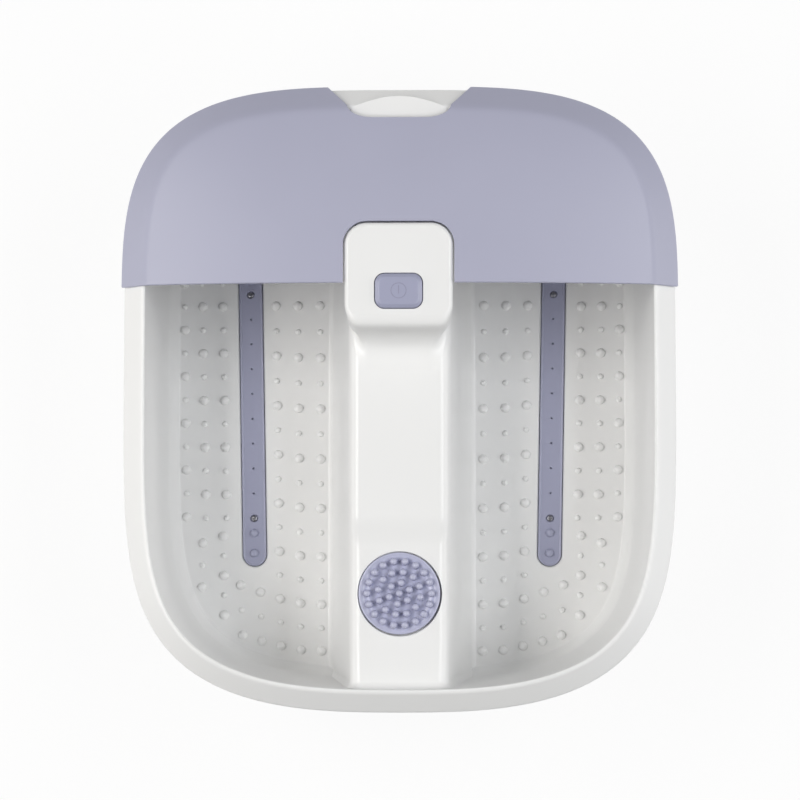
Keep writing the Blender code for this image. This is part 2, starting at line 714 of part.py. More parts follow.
def nub_places():
    """The large nubs of one well: columns beside the strip, a set in front of each, and four at its end."""
    rear_y = REAR_Y - NUB_REAR_MARGIN
    places = []
    for share in INNER_NUB_SHARES:
        for index in range(INNER_NUB_COUNT):
            y = rear_y - 2 * INNER_NUB_PITCH * index
            places.append((RIDGE_BASE_HALF_WIDTH + share * (strip_line_x(y) - RIDGE_BASE_HALF_WIDTH), y))
    for column, spacing in enumerate(OUTER_NUB_SPACINGS):
        first_y = rear_y - (OUTER_NUB_PITCH if column == 2 else 0)
        for index in range(OUTER_NUB_COUNT):
            y = first_y - 2 * OUTER_NUB_PITCH * index
            places.append((strip_line_x(y) + spacing, y))
    for spacing, count in zip(OUTER_NUB_SPACINGS, FRONT_NUB_COUNTS):
        first_y = rear_y - 2 * OUTER_NUB_PITCH * OUTER_NUB_COUNT + OUTER_NUB_PITCH / 3
        for index in range(count):
            y = first_y - 2 * FRONT_NUB_PITCH * index
            places.append((strip_line_x(first_y) + spacing + 2 * GAP, y))
    end_y = STRIP_Y - STRIP_LENGTH / 2 - END_NUB_MARGIN
    for spacing in END_NUB_SPACINGS:
        for y in (end_y, end_y - 2 * END_NUB_PITCH):
            places.append((strip_line_x(y) + spacing, y))
    return nubs_with_room(places)


def fill_nubs(bm):
    """The nubs of both wells: low pyramids whose sides start inside the floor."""
    for x, y in nub_places():
        for side in (-1, 1):
            tip = bm.verts.new((side * x, y, FLOOR_Z + NUB_HEIGHT))
            base = circle(nub_low_radius(), NUB_SIDES, (side * x, y))
            low = [bm.verts.new((u, v, FLOOR_Z - WALL / 2)) for u, v in base]
            for corner_vert, following in zip(low, low[1:] + low[:1]):
                bm.faces.new((corner_vert, following, tip))
            bm.faces.new(list(reversed(low)))


def fill_tub_pockets(bm):
    """Seats of the strips, of the disc and of the button."""
    for side in (-1, 1):
        seat = stadium(STRIP_WIDTH + 2 * GAP, STRIP_LENGTH + 2 * GAP)
        add_prism(bm, seat, STRIP_SEAT_Z, FLOOR_Z + OVERRUN, strip_matrix(side))
    socket = circle(DISC_RADIUS + DISC_CLEARANCE, DISC_STEPS, (0, DISC_Y))
    add_prism(bm, socket, disc_floor_z(), RIDGE_FRONT_Z + OVERRUN)
    hole = rounded_box(BUTTON_HALF_WIDTH, BUTTON_Y - BUTTON_HALF_DEPTH, BUTTON_Y + BUTTON_HALF_DEPTH,
                       BUTTON_RADIUS, BUTTON_RADIUS, -BUTTON_CLEARANCE)
    add_prism(bm, hole, CONSOLE_CEILING_Z - OVERRUN, CONSOLE_TOP_Z + OVERRUN)


def fill_tub_bores(bm):
    """Air grooves, the spigot's bore, and the holes for screws."""
    for side in (-1, 1):
        groove = stadium(AIR_GROOVE_WIDTH, 2 * STRIP_SCREW_REACH - STRIP_WIDTH)
        add_prism(bm, groove, STRIP_SEAT_Z - AIR_GROOVE_DEPTH, STRIP_SEAT_Z + OVERRUN / 2, strip_matrix(side))
        for reach in (-STRIP_SCREW_REACH, STRIP_SCREW_REACH):
            pilot = circle(SMALL_SCREW_RADIUS + GAP, SCREW_SIDES, (0, reach))
            low = STRIP_SEAT_Z - SMALL_SCREW_LENGTH + strip_screw_grip() - GAP
            add_prism(bm, pilot, low, STRIP_SEAT_Z + OVERRUN / 2, strip_matrix(side))
    bore = circle(SPIGOT_RADIUS + DISC_CLEARANCE, DISC_STEPS // 2, (0, DISC_Y))
    add_prism(bm, bore, disc_floor_z() - SPIGOT_LENGTH, disc_floor_z() + OVERRUN / 2)
    for x, y in pan_posts():
        pilot = circle(PAN_SCREW_RADIUS + GAP, SCREW_SIDES, (x, y))
        add_prism(bm, pilot, PAN_Z, PAN_Z + PAN_SCREW_LENGTH + OVERRUN)
    for x, y in heater_screw_places():
        pilot = circle(SMALL_SCREW_RADIUS + GAP, SCREW_SIDES, (x, y))
        tip_z = heater_plate_low_z() - GAP + HEATER_SCREW_LENGTH
        add_prism(bm, pilot, heater_plate_low_z() - OVERRUN, tip_z + GAP)
    for x in (-carrier_ear_x(), carrier_ear_x()):
        pilot = circle(SMALL_SCREW_RADIUS + GAP, SCREW_SIDES, (x, BUTTON_Y))
        add_prism(bm, pilot, carrier_floor_z() - OVERRUN, carrier_floor_z() + SMALL_SCREW_LENGTH)


def strip_screw_grip():
    """How much of a strip screw's shank stays in the strip, under its head."""
    return STRIP_THICKNESS - SMALL_SCREW_HEAD_HEIGHT - GAP


def heater_plate_low_z():
    """Height of the lower face of a heater's plate."""
    return FLOOR_UNDER_Z - GAP - HEATER_PLATE


def fill_air_bores(bm):
    """The bores from the air grooves down through the nipples."""
    for side in (-1, 1):
        bore = circle(NIPPLE_BORE, HOSE_SIDES, (side * STRIP_X, STRIP_Y))
        low = AIR_PAD_Z - NIPPLE_LENGTH - OVERRUN
        add_prism(bm, bore, low, STRIP_SEAT_Z - AIR_GROOVE_DEPTH / 2)
    hole = [(GLAND_NECK + GAP, -WALL - OVERRUN), (GLAND_NECK + GAP, OVERRUN)]
    add_turned(bm, hole, ROUND_STEPS // 2, gland_matrix())


def make_tub(material):
    """The tub: rim, skirt, two wells, the ridge and the console in one moulding."""
    tub = finish_object("tub", tub_body(), material)
    combine(tub, helper("add_ridge", fill_ridge), "UNION")
    combine(tub, helper("add_console", fill_console), "UNION")
    combine(tub, helper("cut_tunnel", fill_tunnel))
    combine(tub, helper("cut_console", fill_console_hollow))
    combine(tub, helper("add_pads", fill_tub_pads), "UNION")
    combine(tub, helper("add_lower_parts", fill_lower_parts), "UNION")
    combine(tub, helper("add_nubs", fill_nubs), "UNION")
    combine(tub, helper("cut_pockets", fill_tub_pockets))
    combine(tub, helper("cut_bores", fill_tub_bores))
    combine(tub, helper("cut_air_bores", fill_air_bores))
    return tub


def guard_rings(skirt_inset_low, crease_inset, lift, crown):
    """Rings of the splash guard's skirt and dome, over the whole outline of the rim."""
    rings = [rim_ring(skirt_inset_low, rim_line(skirt_inset_low, lift))]
    crease_z = rim_line(crease_inset, lift)
    for share in GUARD_RING_SHARES:
        z = crease_z + crown * (1 - share ** GUARD_CROWN_EXPONENT)
        rings.append([(x * share, WIDEST_Y + (y - WIDEST_Y) * share, z)
                      for x, y, _ in rim_ring(crease_inset, crease_z)])
    return rings


def fill_guard_hollow(bm):
    """The space under the splash guard, lying on the rim's slope."""
    inner_shift = GUARD_WALL * (RIM_NORMAL_RISE - 1) / RIM_SLOPE
    add_loft(bm, guard_rings(0.0, GUARD_CREASE_INSET + inner_shift, GAP, GUARD_CROWN))


def grip_outline():
    """The notch in the guard's rear edge where fingers reach under it."""
    edge_y = REAR_Y + GUARD_OVERHANG
    crease_y = edge_y - GRIP_CREASE_DEPTH
    across = GRIP_CREASE_HALF_WIDTH - GRIP_BOTTOM_HALF_WIDTH
    along = GRIP_DEPTH - GRIP_CREASE_DEPTH
    half = [(GRIP_MOUTH_HALF_WIDTH, edge_y + OVERRUN), (GRIP_MOUTH_HALF_WIDTH, edge_y)]
    for step in range(CORNER_STEPS + 1):
        angle = math.pi / 2 * step / CORNER_STEPS
        half.append((GRIP_BOTTOM_HALF_WIDTH + across * math.cos(angle), crease_y - along * math.sin(angle)))
    return half + [(-x, y) for x, y in reversed(half)]


def guard_cut_z():
    """A height above the guard's crown and above the console, for cuts that go right through."""
    return max(rim_line(GUARD_CREASE_INSET, GAP + GUARD_WALL) + GUARD_CROWN, CONSOLE_TOP_Z) + OVERRUN


def fill_guard_cuts(bm):
    """The guard's open front and the finger notch at its rear."""
    top_z = guard_cut_z()
    add_box(bm, (-RIM_HALF_WIDTH - OVERRUN * 2, FRONT_Y - OVERRUN * 2, FLOOR_Z),
            (RIM_HALF_WIDTH + OVERRUN * 2, GUARD_FRONT_Y, top_z))
    add_prism(bm, grip_outline(), FLOOR_Z, top_z)


def make_splash_guard(material):
    """The lift-off guard over the rear of the wells, open round the console."""
    bm = bmesh.new()
    add_loft(bm, guard_rings(-GUARD_OVERHANG, GUARD_CREASE_INSET, GAP + GUARD_WALL, GUARD_CROWN))
    guard = finish_object("splash_guard", bm, material)
    combine(guard, helper("cut_guard_hollow", fill_guard_hollow))
    combine(guard, helper("cut_guard_edges", fill_guard_cuts))
    combine(guard, helper("cut_guard_notch", lambda bm: add_prism(
        bm, console_outline(-NOTCH_GAP), FLOOR_Z, guard_cut_z())))
    set_origin(guard, (0, (GUARD_FRONT_Y + REAR_Y) / 2, CREST_Z))


def screw_profile(radius, length, head_radius, head_height):
    """A screw from its tip up to its head, as (radius, z) pairs measured from under the head."""
    return [(radius / 2, -length), (radius, -length + radius), (radius, 0.0), (head_radius, 0.0),
            (head_radius, head_height - head_height / 4), (head_radius - head_height / 4, head_height)]


def make_screw(name, material, place, length, radius, head_radius, head_height, head_up=True):
    """A screw with its head seated at a place, its head facing up or down."""
    bm = bmesh.new()
    turn = Matrix.Identity(4) if head_up else Matrix.Rotation(math.pi, 4, "X")
    add_turned(bm, screw_profile(radius, length, head_radius, head_height), SCREW_SIDES, turn)
    screw = finish_object(name, bm, material)
    screw.location = place
    return screw


def strip_top_z():
    """Height of the top face of the air strips."""
    return STRIP_SEAT_Z + GAP + STRIP_THICKNESS


def fill_strip_nubs(bm, matrix):
    """The round nubs at both ends of a strip."""
    for margin in STRIP_NUB_MARGINS:
        reach = STRIP_LENGTH / 2 - margin
        for y in (-reach, reach):
            rings = ((STRIP_NUB_RADIUS, strip_top_z() - STRIP_BEVEL),
                     (STRIP_NUB_RADIUS / 2, strip_top_z() + STRIP_NUB_HEIGHT))
            add_turned(bm, rings, SCREW_SIDES, matrix @ at(0, y))


def fill_strip_holes(bm, matrix):
    """The air holes and the through holes of the screws."""
    first = -STRIP_HOLE_PITCH * (STRIP_HOLE_COUNT - 1) / 2
    for index in range(STRIP_HOLE_COUNT):
        hole = circle(STRIP_HOLE_RADIUS, SCREW_SIDES, (0, first + index * STRIP_HOLE_PITCH))
        add_prism(bm, hole, STRIP_SEAT_Z - OVERRUN, strip_top_z() + OVERRUN, matrix)
    for y in (-STRIP_SCREW_REACH, STRIP_SCREW_REACH):
        hole = circle(SMALL_SCREW_RADIUS + GAP, HEAD_SIDES, (0, y))
        add_prism(bm, hole, STRIP_SEAT_Z - OVERRUN, strip_top_z() - SMALL_SCREW_HEAD_HEIGHT, matrix)


def fill_strip_counterbores(bm, matrix):
    """The seats of the screw heads."""
    for y in (-STRIP_SCREW_REACH, STRIP_SCREW_REACH):
        seat = circle(SMALL_SCREW_HEAD + GAP, HEAD_SIDES, (0, y))
        low = STRIP_SEAT_Z + GAP + strip_screw_grip()
        add_prism(bm, seat, low, strip_top_z() + OVERRUN, matrix)


def make_air_strip(name, side, material, screw_material):
    """One air strip in its seat, with the two screws that hold it."""
    bm = bmesh.new()
    matrix = strip_matrix(side)
    levels = ((0.0, STRIP_SEAT_Z + GAP), (0.0, strip_top_z() - STRIP_BEVEL), (STRIP_BEVEL, strip_top_z()))
    rings = [[(x, y, z) for x, y in stadium(STRIP_WIDTH - 2 * inset, STRIP_LENGTH - 2 * inset)]
             for inset, z in levels]
    add_loft(bm, rings, matrix)
    strip = finish_object(name, bm, material)
    combine(strip, helper("add_nubs_" + name, lambda bm: fill_strip_nubs(bm, matrix)), "UNION")
    combine(strip, helper("cut_holes_" + name, lambda bm: fill_strip_holes(bm, matrix)))
    combine(strip, helper("cut_seats_" + name, lambda bm: fill_strip_counterbores(bm, matrix)))
    head_z = STRIP_SEAT_Z + GAP + strip_screw_grip() + GAP
    for end, y in (("front", -STRIP_SCREW_REACH), ("rear", STRIP_SCREW_REACH)):
        make_screw(name + "_screw_" + end, screw_material, matrix @ Vector((0, y, head_z)),
                   SMALL_SCREW_LENGTH, SMALL_SCREW_RADIUS, SMALL_SCREW_HEAD, SMALL_SCREW_HEAD_HEIGHT)


def fill_pegs(bm):
    """The pegs of the massage disc: one in the middle and three rings round it."""
    low = RIDGE_PAD_Z + DISC_STAND - DISC_DISH - DISC_DISH / 2
    high = RIDGE_PAD_Z + DISC_STAND - DISC_DISH + PEG_HEIGHT
    for count, share, start_degrees in PEG_RINGS:
        for index in range(count):
            angle = math.radians(start_degrees) + 2 * math.pi * index / count
            x = DISC_RADIUS * share * math.cos(angle)
            y = DISC_Y + DISC_RADIUS * share * math.sin(angle)
            add_turned(bm, ((PEG_RADIUS, low), (PEG_TIP_RADIUS, high)), PEG_SIDES, at(x, y))


def make_massage_disc(material):
    """The lift-out disc: a dished plate with pegs, and a spigot that holds it in its socket."""
    base_z, top_z = disc_floor_z() + GAP, RIDGE_PAD_Z + DISC_STAND
    dish_radius = DISC_RADIUS - DISC_BAND
    profile = [(SPIGOT_RADIUS, base_z - SPIGOT_LENGTH), (SPIGOT_RADIUS, base_z), (DISC_RADIUS, base_z),
               (DISC_RADIUS, top_z - DISC_DISH), (DISC_RADIUS - DISC_DISH, top_z), (dish_radius, top_z),
               (dish_radius - DISC_DISH, top_z - DISC_DISH)]
    bm = bmesh.new()
    add_turned(bm, profile, DISC_STEPS, at(0, DISC_Y))
    disc = finish_object("massage_disc", bm, material)
    combine(disc, helper("add_pegs", fill_pegs), "UNION")
    set_origin(disc, (0, DISC_Y, base_z))


def button_outline(inset):
    """The button seen from above, grown where the inset is negative."""
    return rounded_box(BUTTON_HALF_WIDTH, BUTTON_Y - BUTTON_HALF_DEPTH, BUTTON_Y + BUTTON_HALF_DEPTH,
                       BUTTON_RADIUS, BUTTON_RADIUS, inset)


def button_flange_low_z():
    """Height of the lower face of the button's flange."""
    return CONSOLE_CEILING_Z - GAP - BUTTON_FLANGE_THICKNESS


def make_power_button(material):
    """The push button: a bevelled cap, a flange that keeps it in, and a stem."""
    top_z, flange_z = CONSOLE_TOP_Z + BUTTON_STAND, CONSOLE_CEILING_Z - GAP
    levels = ((-BUTTON_FLANGE, button_flange_low_z()), (-BUTTON_FLANGE, flange_z), (0.0, flange_z),
              (0.0, top_z - BUTTON_EDGE), (BUTTON_EDGE, top_z))
    bm = bmesh.new()
    add_loft(bm, [[(x, y, z) for x, y in button_outline(inset)] for inset, z in levels])
    button = finish_object("power_button", bm, material)
    stem = circle(BUTTON_STEM_RADIUS, HEAD_SIDES, (0, BUTTON_Y))
    low = button_flange_low_z() - BUTTON_STEM_LENGTH
    combine(button, helper("add_stem", lambda bm: add_prism(
        bm, stem, low, button_flange_low_z() + BUTTON_FLANGE_THICKNESS / 2)), "UNION")
    set_origin(button, (0, BUTTON_Y, CONSOLE_TOP_Z))


def make_button_gasket(material):
    """The gasket between the console and the switch carrier, round the button's flange."""
    low, high = CONSOLE_CEILING_Z - GAP - GASKET_THICKNESS, CONSOLE_CEILING_Z - GAP
    bm = bmesh.new()
    half, depth = carrier_half_width(), carrier_half_depth()
    add_box(bm, (-half, BUTTON_Y - depth, low), (half, BUTTON_Y + depth, high))
    gasket = finish_object("button_gasket", bm, material)
    combine(gasket, helper("cut_gasket", lambda bm: add_prism(
        bm, button_outline(-BUTTON_FLANGE - 2 * GAP), low - OVERRUN, high + OVERRUN)))


def make_switch_carrier(material, screw_material):
    """The tray that holds the switch under the console, with its two screws."""
    floor_z = carrier_floor_z()
    low, high = floor_z - CARRIER_WALL, CONSOLE_CEILING_Z - 2 * GAP - GASKET_THICKNESS
    half, depth = carrier_half_width(), carrier_half_depth()
    bm = bmesh.new()
    add_box(bm, (-half, BUTTON_Y - depth, low), (half, BUTTON_Y + depth, high))
    carrier = finish_object("switch_carrier", bm, material)
    ear = half + CARRIER_EAR
    combine(carrier, helper("add_ears", lambda bm: add_box(
        bm, (-ear, BUTTON_Y - CARRIER_EAR_HALF_DEPTH, low),
        (ear, BUTTON_Y + CARRIER_EAR_HALF_DEPTH, floor_z))), "UNION")
    combine(carrier, helper("cut_carrier", lambda bm: add_box(
        bm, (-half + CARRIER_WALL, BUTTON_Y - depth + CARRIER_WALL, floor_z),
        (half - CARRIER_WALL, BUTTON_Y + depth - CARRIER_WALL, high + OVERRUN))))
    for name, x in (("left", -carrier_ear_x()), ("right", carrier_ear_x())):
        hole = circle(SMALL_SCREW_RADIUS + GAP, HEAD_SIDES, (x, BUTTON_Y))
        combine(carrier, helper("cut_ear_" + name, lambda bm: add_prism(
            bm, hole, low - OVERRUN, floor_z + OVERRUN)))
        make_screw("carrier_screw_" + name, screw_material, (x, BUTTON_Y, low - GAP), SMALL_SCREW_LENGTH,
                   SMALL_SCREW_RADIUS, SMALL_SCREW_HEAD, SMALL_SCREW_HEAD_HEIGHT, head_up=False)


def make_switch(body_material, plunger_material):
    """The switch, and the plunger that the button's stem pushes."""
    low = carrier_floor_z() + GAP
    high = low + SWITCH_HEIGHT
    bm = bmesh.new()
    add_box(bm, (-SWITCH_HALF_SIZE, BUTTON_Y - SWITCH_HALF_SIZE, low),
            (SWITCH_HALF_SIZE, BUTTON_Y + SWITCH_HALF_SIZE, high))
    body = finish_object("switch_body", bm, body_material)
    bore = circle(PLUNGER_RADIUS + GAP, HEAD_SIDES, (0, BUTTON_Y))
    combine(body, helper("cut_switch", lambda bm: add_prism(
        bm, bore, high - PLUNGER_DEPTH - BUTTON_TRAVEL, high + OVERRUN)))
    bm = bmesh.new()
    stem_low = button_flange_low_z() - BUTTON_STEM_LENGTH
    add_prism(bm, circle(PLUNGER_RADIUS, HEAD_SIDES, (0, BUTTON_Y)), high - PLUNGER_DEPTH, stem_low - GAP)
    plunger = finish_object("switch_plunger", bm, plunger_material)
    set_origin(plunger, (0, BUTTON_Y, high))


def make_button_spring(material):
    """The coil spring round the stem, from the switch up to the button's flange."""
    low = carrier_floor_z() + GAP + SWITCH_HEIGHT + GAP + SPRING_WIRE
    high = button_flange_low_z() - GAP - SPRING_WIRE
    count = round(SPRING_TURNS * SPRING_POINTS_PER_TURN)
    pitch_angle = math.atan2((high - low) / SPRING_TURNS, 2 * math.pi * SPRING_RADIUS)
    rings = []
    for index in range(count + 1):
        turn = Matrix.Rotation(2 * math.pi * index / SPRING_POINTS_PER_TURN, 4, "Z")
        wire = at(SPRING_RADIUS, 0, low + (high - low) * index / count) @ Matrix.Rotation(pitch_angle, 4, "X")
        rings.append([turn @ wire @ Vector((u, 0, v)) for u, v in circle(SPRING_WIRE, SPRING_SIDES)])
    bm = bmesh.new()
    add_loft(bm, rings)
    spring = finish_object("button_spring", bm, material, 60)
    spring.location = (0, BUTTON_Y, 0)


def motor_post_places():
    """Where the posts under the motor's core stand."""
    return [(x, MOTOR_Y + y) for x in (-MOTOR_POST_X, MOTOR_POST_X)
            for y in (-CORE_THICKNESS / 4, CORE_THICKNESS / 4)]


def board_post_places():
    """Where the posts under the control board stand."""
    across, along = BOARD_HALF_WIDTH - BOARD_POST_MARGIN, BOARD_HALF_DEPTH - BOARD_POST_MARGIN
    return [(BOARD_X + x, BOARD_Y + y) for x in (-across, across) for y in (-along, along)]


def foot_places():
    """The four feet by name."""
    x, front_y, rear_y = RIM_HALF_WIDTH - FOOT_SIDE_MARGIN, FRONT_Y + FOOT_FRONT_MARGIN, REAR_Y - FOOT_REAR_MARGIN
    return {"foot_front_left": (-x, front_y), "foot_front_right": (x, front_y),
            "foot_rear_left": (-x, rear_y), "foot_rear_right": (x, rear_y)}


def fill_pan_posts(bm):
    """Posts that carry the motor and the control board."""
    for place in motor_post_places():
        add_prism(bm, circle(BOARD_POST_RADIUS, SCREW_SIDES, place), PAN_TOP_Z - PAN_FLOOR / 2,
                  MOTOR_Z - CORE_DROP - GAP)
    for place in board_post_places():
        add_prism(bm, circle(BOARD_POST_RADIUS, SCREW_SIDES, place), PAN_TOP_Z - PAN_FLOOR / 2,
                  PAN_TOP_Z + BOARD_POST_HEIGHT)


def fill_pan_holes(bm):
    """Holes for the screws and the feet, and the vents under the blower."""
    low, high = PAN_Z - OVERRUN, PAN_TOP_Z + OVERRUN
    for place in pan_posts():
        add_prism(bm, circle(PAN_SCREW_RADIUS + GAP, HEAD_SIDES, place), low, high)
    for place in foot_places().values():
        add_prism(bm, circle(FOOT_PLUG_RADIUS + GAP, 2 * HEAD_SIDES, place), low, high)
    first = -VENT_PITCH * (VENT_COUNT - 1) / 2
    for index in range(VENT_COUNT):
        x = first + index * VENT_PITCH
        add_box(bm, (x - VENT_WIDTH / 2, VENT_Y - VENT_LENGTH / 2, low),
                (x + VENT_WIDTH / 2, VENT_Y + VENT_LENGTH / 2, high))


def make_base_pan(material, foot_material, screw_material):
    """The pan that closes the tub from below, with its feet and screws."""
    flange_z = PAN_TOP_Z + PAN_FLANGE_HEIGHT
    profile = ((skirt_inset(PAN_Z, WALL + GAP), PAN_Z), (skirt_inset(flange_z, WALL + GAP), flange_z),
               (skirt_inset(flange_z, WALL + GAP + PAN_FLANGE_WIDTH), flange_z),
               (skirt_inset(PAN_TOP_Z, WALL + GAP + PAN_FLANGE_WIDTH), PAN_TOP_Z))
    bm = bmesh.new()
    add_loft(bm, [rim_ring(inset, z) for inset, z in profile])
    pan = finish_object("base_pan", bm, material)
    combine(pan, helper("add_pan_posts", fill_pan_posts), "UNION")
    combine(pan, helper("cut_pan_holes", fill_pan_holes))
    for name, place in foot_places().items():
        make_foot(name, place, foot_material)
    for index, place in enumerate(pan_posts(), start=1):
        make_screw("base_screw_" + str(index), screw_material, (*place, PAN_Z - GAP), PAN_SCREW_LENGTH,
                   PAN_SCREW_RADIUS, PAN_SCREW_HEAD, PAN_SCREW_HEAD_HEIGHT, head_up=False)


def make_foot(name, place, material):
    """A rubber foot with a plug that goes up through the pan."""
    edge = FOOT_RADIUS / 8
    profile = [(FOOT_RADIUS - edge, 0.0), (FOOT_RADIUS, edge), (FOOT_RADIUS, PAN_Z - GAP),
               (FOOT_PLUG_RADIUS, PAN_Z - GAP), (FOOT_PLUG_RADIUS, PAN_TOP_Z + edge)]
    bm = bmesh.new()
    add_turned(bm, profile, 2 * HEAD_SIDES)
    foot = finish_object(name, bm, material)
    foot.location = (*place, 0)


def make_motor(core_material, coil_material, bridge_material):
    """The motor's laminated core, its coil, and the two bridges that carry the shaft."""
    low_z, half = MOTOR_Z - CORE_DROP, CORE_THICKNESS / 2
    bm = bmesh.new()
    add_box(bm, (-CORE_HALF_WIDTH, MOTOR_Y - half, low_z), (CORE_HALF_WIDTH, MOTOR_Y + half, MOTOR_Z + CORE_TOP))
    core = finish_object("motor_core", bm, core_material)
    bore = [(ROTOR_RADIUS + ROTOR_CLEARANCE, -half - OVERRUN), (ROTOR_RADIUS + ROTOR_CLEARANCE, half + OVERRUN)]
    combine(core, helper("cut_core_bore", lambda bm: add_turned(
        bm, bore, ROUND_STEPS, along_y(0, MOTOR_Y, MOTOR_Z))))
    window_z = low_z + CORE_BAR
    combine(core, helper("cut_core_window", lambda bm: add_box(
        bm, (-CORE_WINDOW_HALF_WIDTH, MOTOR_Y - half - OVERRUN, window_z),
        (CORE_WINDOW_HALF_WIDTH, MOTOR_Y + half + OVERRUN, window_z + CORE_WINDOW_HEIGHT))))
    bm = bmesh.new()
    coil_half = COIL_THICKNESS / 2
    add_box(bm, (-COIL_HALF_WIDTH, MOTOR_Y - coil_half, low_z - COIL_LOWER_WRAP),
            (COIL_HALF_WIDTH, MOTOR_Y + coil_half, window_z + CORE_WINDOW_HEIGHT - 2 * GAP))
    coil = finish_object("motor_coil", bm, coil_material)
    combine(coil, helper("cut_coil", lambda bm: add_box(
        bm, (-CORE_HALF_WIDTH, MOTOR_Y - half - GAP, low_z - GAP),
        (CORE_HALF_WIDTH, MOTOR_Y + half + GAP, window_z + GAP))))
    make_motor_bridge("motor_bridge_front", -1, bridge_material)
    make_motor_bridge("motor_bridge_rear", 1, bridge_material)


def make_motor_bridge(name, side, material):
    """A bridge over one face of the core, with the bearing hole of the shaft."""
    near = MOTOR_Y + side * (CORE_THICKNESS / 2 + GAP)
    far = near + side * BRIDGE_REACH
    inner_half, inner_far = BRIDGE_HALF_WIDTH - BRIDGE_WALL, far - side * BRIDGE_WALL
    outline = [(-BRIDGE_HALF_WIDTH, near), (-BRIDGE_HALF_WIDTH, far), (BRIDGE_HALF_WIDTH, far),
               (BRIDGE_HALF_WIDTH, near), (inner_half, near), (inner_half, inner_far),
               (-inner_half, inner_far), (-inner_half, near)]
    bm = bmesh.new()
    add_prism(bm, outline, MOTOR_Z - BRIDGE_HALF_HEIGHT, MOTOR_Z + BRIDGE_HALF_HEIGHT)
    bridge = finish_object(name, bm, material)
    hole = [(SHAFT_RADIUS + GAP, -BRIDGE_WALL - OVERRUN), (SHAFT_RADIUS + GAP, BRIDGE_WALL + OVERRUN)]
    combine(bridge, helper("cut_" + name, lambda bm: add_turned(
        bm, hole, HEAD_SIDES, along_y(0, far, MOTOR_Z))))


def weight_front_y():
    """Front face of the eccentric weight."""
    return MOTOR_Y - CORE_THICKNESS / 2 - 3 * GAP - BRIDGE_REACH - WEIGHT_THICKNESS


def impeller_front_y():
    """Front face of the impeller's plate."""
    return BLOWER_FRONT_Y + IMPELLER_PLATE


def make_rotor(material):
    """The motor's rotor with its long shaft, which carries the weight and the impeller."""
    half = CORE_THICKNESS / 2
    front = weight_front_y() - SHAFT_END - MOTOR_Y
    rear = impeller_front_y() + IMPELLER_PLATE + BLADE_HEIGHT + SHAFT_END - MOTOR_Y
    profile = [(SHAFT_RADIUS, front), (SHAFT_RADIUS, -half), (ROTOR_RADIUS, -half), (ROTOR_RADIUS, half),
               (SHAFT_RADIUS, half), (SHAFT_RADIUS, rear)]
    bm = bmesh.new()
    add_turned(bm, profile, ROUND_STEPS // 2, along_y(0, 0, 0))
    rotor = finish_object("motor_rotor", bm, material)
    rotor.location = (0, MOTOR_Y, MOTOR_Z)


def make_eccentric_weight(material):
    """The half-round weight on the front of the shaft, heavy side down."""
    steps = ROUND_STEPS // 2
    outline = [(WEIGHT_RADIUS * math.cos(math.pi * i / steps), WEIGHT_RADIUS * math.sin(math.pi * i / steps))
               for i in range(steps + 1)]
    outline += [(-WEIGHT_HUB * math.cos(math.pi * i / steps), -WEIGHT_HUB * math.sin(math.pi * i / steps))
                for i in range(steps + 1)]
    bm = bmesh.new()
    add_prism(bm, outline, 0.0, WEIGHT_THICKNESS, along_y(0, weight_front_y(), MOTOR_Z))
    weight = finish_object("eccentric_weight", bm, material)
    bore = circle(SHAFT_RADIUS + GAP, HEAD_SIDES)
    combine(weight, helper("cut_weight", lambda bm: add_prism(
        bm, bore, -OVERRUN, WEIGHT_THICKNESS + OVERRUN, along_y(0, weight_front_y(), MOTOR_Z))))
    set_origin(weight, (0, weight_front_y(), MOTOR_Z))


def fill_blades(bm):
    """Swept blades on the impeller's plate, from near the hub to its edge."""
    inner = BLOWER_INLET_RADIUS - BLADE_THICKNESS
    length = IMPELLER_RADIUS - GAP - inner
    for index in range(BLADE_COUNT):
        turn = Matrix.Rotation(2 * math.pi * index / BLADE_COUNT, 4, "Z")
        sweep = at(inner, 0) @ Matrix.Rotation(BLADE_SWEEP, 4, "Z")
        blade = [(0.0, -BLADE_THICKNESS / 2), (length, -BLADE_THICKNESS / 2),
                 (length, BLADE_THICKNESS / 2), (0.0, BLADE_THICKNESS / 2)]
        add_prism(bm, blade, IMPELLER_PLATE / 2, IMPELLER_PLATE + BLADE_HEIGHT,
                  along_y(0, impeller_front_y(), MOTOR_Z) @ turn @ sweep)


def make_impeller(material):
    """The blower's impeller: a plate, a hub and swept blades."""
    place = along_y(0, impeller_front_y(), MOTOR_Z)
    profile = [(IMPELLER_RADIUS, 0.0), (IMPELLER_RADIUS, IMPELLER_PLATE), (IMPELLER_HUB, IMPELLER_PLATE),
               (IMPELLER_HUB, IMPELLER_PLATE + BLADE_HEIGHT)]
    bm = bmesh.new()
    add_turned(bm, profile, ROUND_STEPS, place)
    impeller = finish_object("blower_impeller", bm, material)
    combine(impeller, helper("add_blades", fill_blades), "UNION")
    bore = circle(SHAFT_RADIUS + GAP, HEAD_SIDES)
    combine(impeller, helper("cut_impeller", lambda bm: add_prism(
        bm, bore, -OVERRUN, IMPELLER_PLATE + BLADE_HEIGHT + OVERRUN, place)))
    set_origin(impeller, (0, impeller_front_y(), MOTOR_Z))


